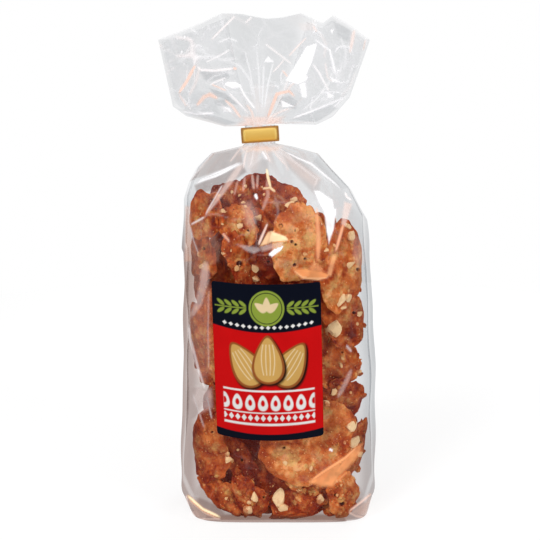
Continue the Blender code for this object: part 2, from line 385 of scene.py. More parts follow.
neck = {"middle": -5.0, "halfWidth": 8.3, "halfDepth": 3.2, "top": 201.5, "tilt": 4.0}
labelForm = {
    "middle": (-0.9, 89.0), "size": (52.6, 77.0), "lean": 2.2, "sag": (1.2, 2.6), "corner": 1.6,
    "gap": 0.35, "proud": 0.02, "thickness": 0.3, "wave": 0.07, "columns": 200, "rows": 290,
}
film = {
    "rows": 320, "columns": 500, "neckRows": 8, "baseRings": 13, "floor": 0.2, "frontShare": 0.70,
    "squareness": 2.9, "tint": (0.955, 0.957, 0.960), "coolShade": (0.46, 0.48, 0.50),
    "warmShade": (0.52, 0.42, 0.39), "glow": 0.30, "mirror": (0.75, 0.11), "roughness": 0.07,
    "fold": 3.4, "pleat": 1.5, "lump": 0.9, "corner": 1.1, "feet": (5.0, 4.0), "footHeight": 13.0,
    "white": (0.92, 0.90, 0.92), "peachReflection": (0.93, 0.36, 0.13), "cream": (1.0, 0.82, 0.52),
}
around = {"halfWidth": 51.0, "halfDepth": 36.0, "stretch": 1.1}  # for even steps round the bag
# Corners of the outline where the film is drawn in to the neck: (x, height).
shoulders = {
    "left": (
        (-46.0, 110.0), (-45.4, 125.0), (-45.3, 138.0), (-46.2, 140.2), (-44.9, 165.0),
        (-42.3, 173.1), (-38.4, 180.3), (-30.9, 187.4), (-15.0, 190.9), (-13.3, 192.2),
    ),
    "right": (
        (54.0, 110.0), (52.9, 125.0), (51.5, 137.5), (50.5, 154.6), (42.7, 169.7), (35.1, 177.5),
        (25.8, 187.1), (13.0, 190.5), (3.3, 192.2),
    ),
}
# The open mouth: corners of its outline from the clip to both tips, and of its rim; and
# the folds of its gussets: side, reach, seed.
mouth = {
    "left": ((-13.3, 200.9), (-23.0, 200.6), (-42.1, 205.6), (-48.9, 210.5), (-55.6, 243.2)),
    "right": ((3.3, 202.1), (23.5, 201.7), (31.6, 205.6), (40.1, 215.3), (49.8, 243.4)),
    "rim": (
        (-1.0, 243.2), (-0.396, 255.8), (-0.212, 255.5), (0.018, 254.1), (0.168, 254.7),
        (0.344, 256.4), (0.551, 251.4), (0.643, 255.1), (0.804, 250.0), (0.94, 244.6),
        (1.0, 243.4),
    ),
    "halfDepth": 8.6, "rows": 120, "columns": 520, "squareness": 2.4, "section": (52.0, 8.0),
    "gussetRows": 70, "gussetColumns": 130, "gussets": ((-1, 0.62, 41), (1, 0.56, 57)),
}


def levelAt(z):
    # middle, half width, half depth and squareness of the bag at a height
    z = np.clip(z, 0.0, filmLevels[-1, 0])
    return [through(filmLevels[:, 0], filmLevels[:, k], z) for k in range(1, 5)]


def reachAt(x, z):
    # half width of the film on the side where x is: the solid's, which passes over into
    # the straight runs between the shoulders' corners
    middle, a, _, _ = levelAt(z)
    left, right = (np.array(shoulders[side]) for side in ("left", "right"))
    bentLeft = middle - np.interp(z, left[:, 1], left[:, 0])
    bentRight = np.interp(z, right[:, 1], right[:, 0]) - middle
    bent = np.where(x < middle, bentLeft, bentRight)
    foot = np.where(x < middle, *film["feet"])
    high = film["footHeight"]
    a = np.minimum(a, levelAt(high)[1] - foot * (1.0 - z / high))
    return a + (bent - a) * smooth(88.0, 122.0, z)


def evenAngles(a, b, n, count, front=0.5):
    # angles whose points on |x/a|^n + |y/b|^n = 1 lie at equal steps, with a share of
    # them in the front half
    angle = np.linspace(0.0, fullTurn, 2881)
    x = a * signed(np.cos(angle), 2.0 / n)
    y = b * signed(np.sin(angle), 2.0 / n)
    walk = walked(np.diff(x), np.diff(y))
    share = np.interp(np.arange(count) / count, (0.0, front, 1.0), (0.0, 0.5, 1.0))
    return np.interp(share * walk[-1], walk, angle)[None, :]


def sectionPoint(angle, n):
    # from the left end round the front (q below 0) to the right end and the back
    return -signed(np.cos(angle), 2.0 / n), -signed(np.sin(angle), 2.0 / n)


def frontAt(x, z):
    # Y of the plain front at (x, z): -b (1 - |p|^n)^(1/n)
    middle, a, b, n = levelAt(z)
    p = np.clip((x - middle) / a, -0.999, 0.999)
    return -b * (1.0 - np.abs(p) ** n) ** (1.0 / n)


def labelMask(x, z):
    # 1 where the label lies, fading to 0 within 12 mm around it
    beyond = [np.abs(w - labelForm["middle"][k]) - labelForm["size"][k] / 2 for k, w in enumerate((x, z))]
    return fade(0.0, 12.0, np.maximum(*beyond))


def filmRelief(p, q, x, z):
    # the relief that the bag's solid has: lumps, gusset folds, pleats, base corners
    angle = np.arctan2(q, p)
    bumps = np.sin(3 * angle + z / 13.0 + 0.7) * np.sin(z / 9.5 + 2.0 * np.cos(angle))
    bumps = bumps + 0.6 * np.sin(5 * angle - z / 8.0 + 2.1)
    front = np.where(q < 0.0, labelMask(x, z), 0.0)
    filled = smooth(6.0, 30.0, z) * fade(150.0, 172.0, z)
    out = film["lump"] * bumps * filled * (1.0 - front) * (1.0 - 0.6 * np.abs(p) ** 3)
    groove = smooth(14.0, 50.0, z) * (1.0 - 0.5 * smooth(176.0, 192.0, z))
    out = out - film["fold"] * groove * bell(q, 0.26) * np.abs(p)
    pleats = np.sin(13 * angle + 0.8) + 0.7 * np.sin(21 * angle + 2.6 * np.sin(angle))
    pleats = pleats + 0.6 * np.sin(8 * angle + 1.9)
    drawn = smooth(142.0, 180.0, z) * (1.0 - 0.86 * smooth(184.0, 192.2, z))
    out = out + film["pleat"] * 0.5 * drawn * pleats * (1.0 - 0.5 * np.abs(p) ** 4)
    line = 17.0 * (1.0 - (1.0 - np.abs(p)) * 52.0 / 20.0)
    ridge = bell(z - line, 3.2) * (line > -4.0) * smooth(0.3, 0.7, np.abs(q))
    return out + film["corner"] * ridge * smooth(0.0, 3.0, z)


# The whiteness of these lines and patches paints highlights onto the film: white and cream glints, and
# peach reflections of the biscuits.
# Creases and glints that show on the film, by the photograph's pixels. A line: its
# corners, half widths at both ends in pixels, height in mm, whiteness, and warmth from
# 0, white, over 1, peach, to 2, cream.
filmLines = (
    ((195, 184, 215, 177, 243, 163), 0.4, 1.2, 0.7, 0.66, 0.0),
    ((198, 182, 222, 171, 243, 162), 0.2, 0.8, 0.3, 0.55, 0.0),
    ((190, 181, 213, 153, 241, 147), 0.8, 0.8, 0.2, 0.16, 0.2),
    ((223, 184, 205, 217), 0.5, 0.5, 0.6, 0.5, 0.15),
    ((244, 162, 226, 187, 205, 217), 4.6, 1.2, 0.4, 0.36, 0.35),
    ((205, 217, 190, 225), 0.8, 0.5, 0.5, 0.55, 0.1),
    ((190, 225, 193, 240, 199, 256), 0.7, 0.7, 0.3, 0.28, 0.15),
    ((222.5, 233, 230, 242), 1.4, 0.6, 0.4, 0.62, 0.72),
    ((252, 174, 254, 190), 1.2, 1.2, 0.3, 0.34, 0.45),
    ((258, 174, 257, 189), 0.9, 0.9, 0.3, 0.3, 0.45),
    ((245, 176, 243, 192), 1.0, 1.0, 0.3, 0.28, 0.45),
    ((238, 180, 234, 196), 0.9, 0.9, 0.3, 0.22, 0.45),
    ((266.5, 168, 268, 178, 270.7, 189), 1.0, 1.3, 0.4, 0.72, 1.9),
    ((262, 189, 270, 188, 276, 192.5), 0.7, 1.2, 0.3, 0.62, 1.85),
    ((261.6, 151, 267.7, 160), 0.5, 0.8, 0.4, 0.72, 0.05),
    ((255, 194, 257.5, 200), 1.8, 0.5, 0.3, 0.88, 0.0),
    ((246, 204, 251, 212, 256, 226), 3.4, 2.4, 0.3, 0.18, 0.2),
    ((262, 212, 268, 196, 267, 178), 1.8, 1.8, 0.4, 0.22, 0.4),
    ((268, 223, 258, 246), 0.5, 1.2, 0.4, 0.72, 0.45),
    ((283, 151, 311.5, 164.4, 342, 191.3), 0.5, 0.7, 0.6, 0.66, 0.0),
    ((276, 149, 300, 166, 317, 180, 312, 191), 1.0, 1.2, 0.4, 0.3, 0.25),
    ((344.5, 192.5, 346, 197, 351.5, 201), 0.7, 0.5, 0.3, 0.88, 0.12),
    ((343, 222, 334.5, 253), 1.3, 1.4, 0.4, 0.66, 0.82),
    ((316.5, 206, 318, 238, 317.5, 264), 2.0, 2.8, 0.4, 0.48, 0.88),
    ((292, 269, 303, 277.5, 318, 279, 331, 276), 0.8, 1.2, 0.3, 0.62, 1.3),
    ((206, 258, 204, 282, 199, 303, 189, 321), 6.6, 4.2, 0.3, 0.3, 0.3),
    ((189, 321, 190, 338, 198, 368, 206.5, 394), 1.8, 0.9, 0.4, 0.42, 0.1),
    ((206.5, 394, 212, 420), 0.8, 0.5, 0.3, 0.3, 0.05),
    ((192, 392, 205, 430), 0.5, 0.4, 0.2, 0.22, 0.05),
    ((209, 284, 208, 330, 209, 376), 0.7, 0.7, 0.3, 0.18, 0.12),
    ((352, 368, 345, 384, 337, 399), 2.6, 2.2, 0.4, 0.2, 0.25),
    ((346, 345, 352, 352), 1.0, 0.8, 0.2, 0.34, 0.05),
    ((329, 449, 333, 451), 0.9, 0.6, 0.0, 0.9, 0.0),
    ((309, 482, 325, 471, 345, 458, 360, 444), 1.6, 1.0, 0.2, 0.7, 1.12),
    ((318, 487, 334, 484, 348, 471), 1.0, 0.8, 0.2, 0.46, 1.05),
    ((186.5, 494, 203, 509, 222, 518), 1.1, 1.3, 0.5, 0.92, 1.95),
    ((188, 498, 205, 513, 219, 519), 0.7, 0.8, 0.2, 0.5, 0.62),
    ((186.5, 494, 189, 509, 197, 519), 0.7, 0.8, 0.4, 0.7, 0.3),
    ((196, 519, 222, 519), 0.8, 0.6, 0.2, 0.55, 0.42),
    ((372, 493, 360, 503, 348, 512), 0.9, 0.7, 0.5, 0.58, 0.52),
    ((371, 498, 368, 510, 364, 517), 0.6, 0.6, 0.2, 0.4, 0.4),
    ((348, 512, 356, 516, 366, 518), 0.7, 0.5, 0.2, 0.45, 0.5),
    ((197, 521, 350, 521), 0.9, 0.9, 0.0, 0.3, 0.35),
    ((243, 145, 235, 156, 229, 163), 0.9, 0.5, 0.3, 0.34, 0.34),
    ((248, 145, 245, 158, 243, 170), 0.8, 0.6, 0.3, 0.4, 0.28),
    ((254, 145, 253, 155, 250, 168), 0.7, 0.5, 0.3, 0.3, 0.1),
    ((263, 145, 266, 153, 271, 163), 0.8, 0.6, 0.3, 0.38, 0.22),
    ((270, 145, 276, 154, 286, 166), 0.8, 0.8, 0.3, 0.34, 0.34),
    ((277, 146, 288, 155, 296, 163), 0.7, 0.5, 0.3, 0.3, 0.18),
    ((274, 148, 284, 160, 289, 172), 0.6, 0.9, 0.3, 0.26, 0.4),
)
# A patch: its corners, whiteness, warmth, blur in pixels; the whiteness paints highlights, reflections and
# a milky veil onto the film.
filmPatches = (
    ((313.7, 190.5, 319, 191, 332.5, 200.5, 334, 214, 328, 220, 318.5, 202), 0.92, 0.0, 1.4),
    ((323.5, 209, 336, 209, 333.4, 229, 328.4, 244, 326.4, 233), 0.92, 0.0, 1.4),
    ((343.5, 202, 352, 204, 344.5, 227, 340, 225), 0.52, 0.42, 1.8),
    ((331.5, 254, 337, 254.5, 335, 263, 331.5, 276, 326.5, 276, 329, 264), 0.5, 1.25, 1.8),
    ((259, 247, 268, 232, 274, 231, 279, 238, 271, 243), 0.78, 1.55, 1.2),
    ((271, 231, 286, 236.5, 289, 241, 277, 242, 268, 243), 0.84, 1.85, 1.2),
    ((268, 254.5, 274, 249, 284, 245.5, 281, 250.5, 272, 257), 0.96, 0.0, 0.7),
    ((236, 244, 258, 247, 262, 250, 254, 254, 246, 251), 0.32, 0.12, 1.8),
    ((258, 245, 284, 241, 282, 247, 262, 252), 0.32, 0.35, 1.8),
    ((291, 267.5, 301, 277.5, 313, 279, 325, 278.5, 331, 275, 320, 270.5), 0.6, 1.02, 1.8),
    ((306, 274, 315.5, 258, 319, 258, 322.5, 268, 329, 275), 0.46, 0.95, 2.8),
    ((308, 482, 324, 471, 341, 461, 343, 472, 333, 487, 320, 487), 0.74, 1.02, 3.2),
    ((331, 472, 346, 456, 355, 445, 362, 444, 361, 453, 350, 467, 339, 478), 0.7, 1.02, 3.2),
    ((187, 496, 197, 518, 219, 517), 0.22, 0.6, 1.6),
    ((371, 497, 351, 513, 366, 517), 0.24, 0.62, 1.6),
    ((190, 226, 205, 218, 213, 232, 222, 245, 219, 262, 206, 268, 199, 256), 0.08, 0.55, 2.5),
    ((238, 145, 284, 145, 280, 152, 244, 152), 0.42, 0.52, 3.0),
    ((246, 154, 260, 152, 262, 166, 253, 174, 246, 168), 0.16, 0.26, 4.0),
    ((278, 152, 300, 163, 322, 178, 312, 191, 300, 178, 282, 166), 0.2, 0.52, 3.5),
    ((240, 202, 252, 200, 259, 214, 255, 233, 245, 224), 0.22, 0.4, 5.0),
    ((206, 515, 346, 515, 352, 521, 200, 521), 0.06, 0.86, 2.5),
    ((352, 232, 362, 240, 366, 262, 358, 270, 352, 256), 0.16, 0.4, 3.0),
    ((186, 258, 206, 262, 211, 290, 211, 372, 203, 388, 192, 372, 186, 320), 0.13, 0.55, 5.0),
    ((186, 230, 196, 240, 205, 262, 190, 262), 0.2, 0.66, 4.0),
    ((196, 386, 212, 388, 213, 408, 200, 414, 192, 400), 0.28, 0.2, 3.5),
    ((185, 206, 191, 206, 192, 262, 184, 262), 0.3, 0.75, 2.0),
)
# Where the film lies double and looks smoky, with painted shade, such as under the biscuits at the base:
# corners, share, warmth from 0, cool, to 1, blur.
filmShades = (
    ((190, 181, 213, 153, 241, 147, 243, 163), 0.6, 0.8, 1.8),
    ((194, 185, 243, 164, 247, 172, 224, 188, 212, 192, 196, 192), 0.78, 0.7, 1.8),
    ((262, 158, 268, 160, 270, 176, 262, 184, 252, 180, 250, 168), 0.4, 0.6, 2.5),
    ((280, 147, 300, 157, 321, 180, 320, 200, 308, 189, 288, 168), 0.36, 0.95, 3.0),
    ((318, 153, 335, 172, 349, 188, 342, 190, 312, 164), 0.25, 0.0, 1.5),
    ((345, 203, 352, 203, 365, 222, 362, 238, 350, 226), 0.18, 0.0, 2.0),
    ((184, 385, 212, 388, 212, 407, 196, 418, 184, 440), 0.66, 0.9, 2.5),
    ((184, 420, 190, 420, 191, 468, 200, 484, 184, 500), 0.62, 0.9, 2.5),
    ((184, 478, 197, 481, 218, 505, 246, 517, 246, 521, 190, 520), 0.72, 1.0, 2.5),
    ((372, 486, 356, 500, 340, 514, 340, 521, 366, 520), 0.55, 0.9, 2.5),
    ((206, 514, 344, 514, 348, 523, 202, 523), 1.0, 1.0, 2.0),
    ((190, 226, 205, 218, 213, 232, 222, 245, 219, 262, 206, 268, 199, 256), 0.16, 0.7, 2.5),
)
# The same lists for the open mouth, with painted highlights, reflections and shade.
mouthLines = (
    ((236, 15, 210, 41), 0.5, 0.4, 0.2, 0.6, 0.12),
    ((252, 17, 245, 23), 0.4, 0.4, 0.2, 0.55, 0.1),
    ((217, 43, 229, 38, 239, 42), 0.5, 0.6, 0.3, 0.4, 0.0),
    ((205, 63, 222.6, 54, 231, 49), 0.4, 0.5, 0.3, 0.5, 0.05),
    ((196, 64, 187, 81, 178, 94.5), 1.5, 1.4, 0.4, 0.66, 0.62),
    ((196, 65, 201, 70, 215, 70.6, 236, 68), 0.5, 0.8, 0.4, 0.72, 0.08),
    ((233, 68, 237, 69), 1.3, 0.8, 0.2, 0.6, 0.6),
    ((209, 85, 227, 77), 0.4, 0.4, 0.3, 0.5, 0.05),
    ((211, 84, 227, 91), 0.6, 0.6, 0.3, 0.42, 0.6),
    ((239, 84, 244, 94.5, 256, 110), 0.6, 0.8, 0.4, 0.68, 0.02),
    ((228, 92, 241, 105, 250, 115), 0.8, 1.0, 0.4, 0.45, 0.05),
    ((196, 106.5, 204, 97, 210, 94.5, 219, 99), 1.8, 2.4, 0.3, 0.42, 0.75),
    ((224, 99, 233, 107, 241.6, 119), 1.0, 1.6, 0.3, 0.44, 0.6),
    ((246, 104, 252, 112, 254, 122), 0.9, 1.5, 0.3, 0.36, 0.55),
    ((200, 66, 196, 82, 188, 98), 1.6, 1.2, 0.2, 0.22, 0.3),
    ((176, 62, 190, 56, 212, 58), 1.2, 1.0, 0.2, 0.2, 0.0),
    ((196, 44, 206, 54, 222, 60, 240, 58), 0.8, 1.2, 0.2, 0.24, 0.0),
    ((286, 92, 292, 84, 300, 78), 1.0, 1.4, 0.2, 0.3, 0.35),
    ((300, 112, 316, 100, 328, 84, 336, 64), 1.2, 0.8, 0.3, 0.26, 0.0),
    ((204, 84, 214, 76, 226, 72, 238, 74), 1.6, 1.0, 0.2, 0.24, 0.0),
    ((226, 60, 240, 66, 250, 80, 254, 98), 1.0, 1.6, 0.2, 0.26, 0.0),
    ((276, 104, 284, 92, 288, 80), 1.4, 1.0, 0.2, 0.24, 0.2),
    ((318, 30, 326, 44, 324, 60), 1.6, 1.0, 0.2, 0.2, 0.2),
    ((340, 36, 346, 52, 344, 72), 1.0, 1.2, 0.2, 0.22, 0.0),
    ((188, 44, 200, 50, 212, 48), 1.6, 1.2, 0.1, 0.18, 0.0),
    ((340, 98, 350, 86, 356, 70), 1.2, 0.8, 0.2, 0.26, 0.1),
    ((179, 94, 186.6, 107), 0.5, 0.5, 0.2, 0.5, 0.35),
    ((182, 97, 191.5, 110), 0.5, 0.5, 0.2, 0.45, 0.1),
    ((181, 111, 196, 114, 216, 113), 0.6, 0.8, 0.3, 0.55, 0.0),
    ((244, 48, 250, 72, 256, 104), 0.5, 0.5, 0.3, 0.28, 0.0),
    ((256, 46, 259, 76, 260, 110), 0.6, 0.6, 0.3, 0.3, 0.0),
    ((264, 62, 263, 84, 262, 112), 0.6, 0.7, 0.3, 0.34, 0.0),
    ((274, 60, 268, 84, 264, 112), 0.5, 0.6, 0.3, 0.32, 0.0),
    ((264, 43, 280, 55, 293, 65), 0.4, 0.5, 0.3, 0.52, 0.1),
    ((307, 37, 298, 46, 288, 57), 0.4, 0.4, 0.2, 0.48, 0.3),
    ((313, 38, 330, 50.5, 336, 77), 0.5, 0.8, 0.4, 0.58, 0.0),
    ((311.7, 62.7, 319, 72.5, 330, 93), 0.5, 0.7, 0.4, 0.55, 0.05),
    ((325, 61.5, 327.6, 77, 333, 82), 0.6, 0.5, 0.2, 0.34, 0.25),
    ((354.5, 29, 352, 42, 349.6, 54), 2.0, 1.3, 0.2, 0.42, 0.42),
    ((365.5, 39.5, 363, 51), 0.7, 0.5, 0.1, 0.4, 0.45),
    ((313, 26, 317, 32), 1.2, 0.8, 0.2, 0.36, 0.5),
    ((296, 98, 289, 91, 277, 94, 271, 109, 266, 121), 1.2, 2.2, 0.4, 0.5, 0.72),
    ((282, 70, 288, 77), 0.5, 0.5, 0.1, 0.45, 0.6),
    ((284.8, 59, 279, 66, 272, 73), 0.4, 0.4, 0.2, 0.42, 0.15),
    ((268, 118, 280, 112, 290, 108), 0.7, 0.7, 0.2, 0.4, 0.3),
    ((291, 119, 320, 108, 348.4, 95.7), 0.6, 0.6, 0.4, 0.62, 0.0),
    ((333, 108, 347, 95), 0.6, 0.4, 0.2, 0.5, 0.0),
    ((280, 123, 314, 122), 0.6, 0.5, 0.2, 0.34, 0.05),
    ((342, 60, 337, 90), 0.8, 0.6, 0.3, 0.24, 0.0),
    ((354, 62, 346, 88), 0.6, 0.6, 0.3, 0.26, 0.0),
)
mouthPatches = (
    ((306, 47, 316.6, 43, 317.6, 50.5, 311.7, 63, 308, 76, 295, 80, 291, 72.5), 0.92, 0.0, 0.9),
    ((291, 72, 308, 76, 305, 86, 298, 84, 288.4, 88, 282.3, 87), 0.88, 0.0, 0.9),
    ((299, 84, 305.5, 82, 307, 98, 302, 97), 0.8, 0.0, 1.0),
    ((224, 84.7, 229.4, 79, 235.5, 82, 241, 82, 241.6, 87, 232, 88.5), 0.85, 0.0, 0.7),
    ((268, 56, 274, 62, 264, 62), 0.8, 0.0, 0.8),
    ((330, 30, 334, 29, 332, 34), 0.75, 0.0, 0.5),
    ((281, 100, 294.6, 106.5, 282, 107), 0.8, 0.0, 0.7),
    ((327, 92, 335, 96, 328, 98), 0.8, 0.0, 0.7),
    ((331, 77, 341, 82, 332, 82), 0.7, 0.0, 0.7),
    ((222, 106, 230, 108, 233, 112, 224, 112), 0.55, 0.0, 1.0),
    ((183.8, 36, 185.6, 36, 185.6, 37.8, 183.8, 37.8), 0.85, 0.0, 0.4),
    ((181, 50, 182.4, 50, 182.4, 53, 181, 53), 0.7, 0.0, 0.4),
    ((240, 116, 286, 116, 278, 124, 247, 124), 0.4, 0.5, 2.5),
    ((249, 43, 266, 44, 268, 72, 258, 76, 250, 66), 0.12, 0.0, 6.0),
    ((255, 84, 266, 84, 272, 100, 266, 118, 254, 118, 248, 100), 0.3, 0.16, 9.0),
    ((297, 22, 316, 22, 318, 32, 300, 32), 0.14, 0.35, 3.0),
)
mouthShades = (
    ((160, 42, 196, 30, 200, 100, 172, 104), 0.16, 0.3, 5.0),
    ((174, 88, 214, 92, 222, 116, 186, 112), 0.24, 0.3, 4.0),
    ((198, 71, 228, 71, 230, 78, 206, 82), 0.45, 0.0, 2.0),
    ((209, 88, 226, 93, 240, 106, 232, 104, 214, 95), 0.5, 0.0, 1.5),
    ((212, 99, 226, 99, 228, 107, 214, 106), 0.42, 0.0, 2.0),
    ((176, 108, 214, 115, 240, 123, 224, 126, 188, 116), 0.4, 0.0, 2.0),
    ((272, 97, 290, 95, 298, 101, 296, 110, 278, 104), 0.38, 0.1, 2.0),
    ((288, 120, 330, 104, 340, 108, 318, 123), 0.3, 0.0, 2.0),
    ((332, 18, 352, 30, 350, 44, 336, 36), 0.3, 0.0, 3.0),
    ((240, 52, 250, 54, 246, 66, 238, 64), 0.28, 0.0, 3.0),
)


def strokeAt(px, py, path):
    # distance to a bent line and how far along it, from 0 to 1, the nearest place is
    path = np.reshape(path, (-1, 2)).astype(float)
    walk = walked(*np.diff(path, axis=0).T)
    nearest, along = np.full(px.shape, 1e9), np.zeros(px.shape)
    for k in range(len(path) - 1):
        dx, dy = path[k + 1] - path[k]
        t = ((px - path[k, 0]) * dx + (py - path[k, 1]) * dy) / (dx * dx + dy * dy)
        t = np.clip(t, 0.0, 1.0)
        gap = np.hypot(px - path[k, 0] - t * dx, py - path[k, 1] - t * dy)
        nearer = gap < nearest
        along = np.where(nearer, walk[k] + t * (walk[k + 1] - walk[k]), along)
        nearest = np.where(nearer, gap, nearest)
    return nearest, along / walk[-1]


def insideOf(px, py, corners, blur):
    # 1 inside a shape with outward corners, 0 outside, blurred along its edge
    corners = np.reshape(corners, (-1, 2)).astype(float)
    heart = corners.mean(0)
    outside = np.full(px.shape, -99.0)
    for (x0, y0), (x1, y1) in zip(corners, np.roll(corners, -1, 0)):
        dx, dy = x1 - x0, y1 - y0
        side = np.sign((heart[0] - x0) * dy - (heart[1] - y0) * dx)
        cross = ((px - x0) * dy - (py - y0) * dx) * side / math.hypot(dx, dy)
        outside = np.maximum(outside, -cross)
    return fade(-blur, 0.6 * blur, outside)


def over(white, warm, share, tint):
    # whiteness and warmth of two layers: where they overlap, the whiter one shows
    return np.maximum(white, share), np.where(share > white, tint, warm)


def pressed(points, lines, patches, front):
    # lines and patches laid on the film as seen from the photograph's place; the
    # whitest one wins, and a line also stands up as a ridge
    px, py, _ = toPixel(points)
    # the whiteness and warmth are painted highlights and reflections
    height, white, warm = (np.zeros_like(px) for _ in range(3))
    for corners, share, tint, blur in patches:
        uneven = 1.0 - 0.10 * blur * (0.5 + 0.5 * softNoise(points, 5.0, len(corners) // 2))
        uneven = uneven * (1.0 - 0.16 * smooth(0.0, 0.6, softNoise(points, 2.4, 8)))
        white, warm = over(white, warm, share * insideOf(px, py, corners, blur) * uneven * front, tint)
    for path, first, last, rise, share, tint in lines:
        gap, along = strokeAt(px, py, path)
        width = first + (last - first) * along
        width = width * (0.45 + 0.55 * smooth(0.0, 0.3, along) * fade(0.7, 1.0, along))
        ends = smooth(0.0, 0.12, along) * fade(0.86, 1.0, along)
        height += 0.55 * rise * ends * fade(0.0, 2.0 * width + 4.0, gap) * front
        share = share * ends * fade(0.3 * width, width + 1.1, gap) * front
        white, warm = over(white, warm, share, tint)
    return height, white, warm


def shaded(points, shades, front):
    # patches of painted shade, smoky, laid on the film in the same way
    px, py, _ = toPixel(points)
    smoke, warm = np.zeros_like(px), np.zeros_like(px)
    for corners, share, tint, blur in shades:
        smoke, warm = over(smoke, warm, share * insideOf(px, py, corners, blur) * front, tint)
    return smoke, warm


def crumpled(u, v, seed, big, little):
    # flat facets at three sizes, and painted highlights, white, where some of their folds run
    broad, foldBroad = facets(u, v, 24.0, seed)
    fine, foldFine = facets(u + 0.4 * v, v, 11.0, seed + 3)
    fibre, _ = facets(u, v, 5.0, seed + 7)
    some = smooth(0.05, 0.6, flatNoise(u, v, 17.0, seed + 11))
    white = 0.16 * some * bell(foldBroad, 0.6)
    white = np.maximum(white, 0.10 * (1.0 - some) * bell(foldFine, 0.5))
    wisp = flatNoise(u + 0.3 * v, 0.35 * v, 6.0, seed + 19)
    white = np.maximum(white, 0.07 * smooth(0.1, 0.7, wisp))
    # painted highlights along thin curved creases where a soft noise crosses 0
    for size, width, k in ((15.0, 0.055, 23), (9.0, 0.060, 27)):
        curl = np.abs(flatNoise(u, v, size, seed + k))
        here = smooth(-0.1, 0.5, flatNoise(u, v, 0.7 * size, seed + k + 2))
        white = np.maximum(white, 0.50 * here * fade(0.2 * width, width, curl))
    warm = 0.3 * smooth(0.1, 0.7, flatNoise(u, v, 15.0, seed + 17))
    return big * broad + little * (fine + 0.35 * fibre), white, warm


def layersAndShadeAt(points, x, p, q, z):
    # how smoky the film is and how warm, all painted shade: smoky at the back and near the sides, warm on
    # the left and low down, cool on the right
    lower = fade(135.0, 175.0, z)
    left = 0.62 + 0.10 * smooth(60.0, 120.0, z)
    right = 0.50 - 0.14 * smooth(20.0, 60.0, z)
    side = np.where(x < 0.0, left, right)
    back = 0.24 - 0.08 * lower + (side - 0.10) * smooth(0.50, 0.75, np.abs(p)) * lower
    front = 0.03 + side * smooth(0.76, 0.88, np.abs(p)) * lower
    smoke = np.where(q > 0, back, front) * (1.0 + 0.10 * softNoise(points, 18.0, 50))
    smoke = smoke * (0.15 + 0.85 * smooth(0.05, 0.22, np.abs(q)))
    dusk = fade(-30.0, 10.0, x) * fade(120.0, 170.0, z)
    return smoke, np.maximum(dusk, 0.45 * fade(30.0, 60.0, z) + 0.4 * fade(6.0, 18.0, z))


def evenArc(angle):
    # how far round the bag an angle is, in millimetres
    x, y = around["halfWidth"] * np.cos(angle[0]), around["halfDepth"] * np.sin(angle[0])
    return walked(np.diff(x), np.diff(y))[None, :] * around["stretch"]


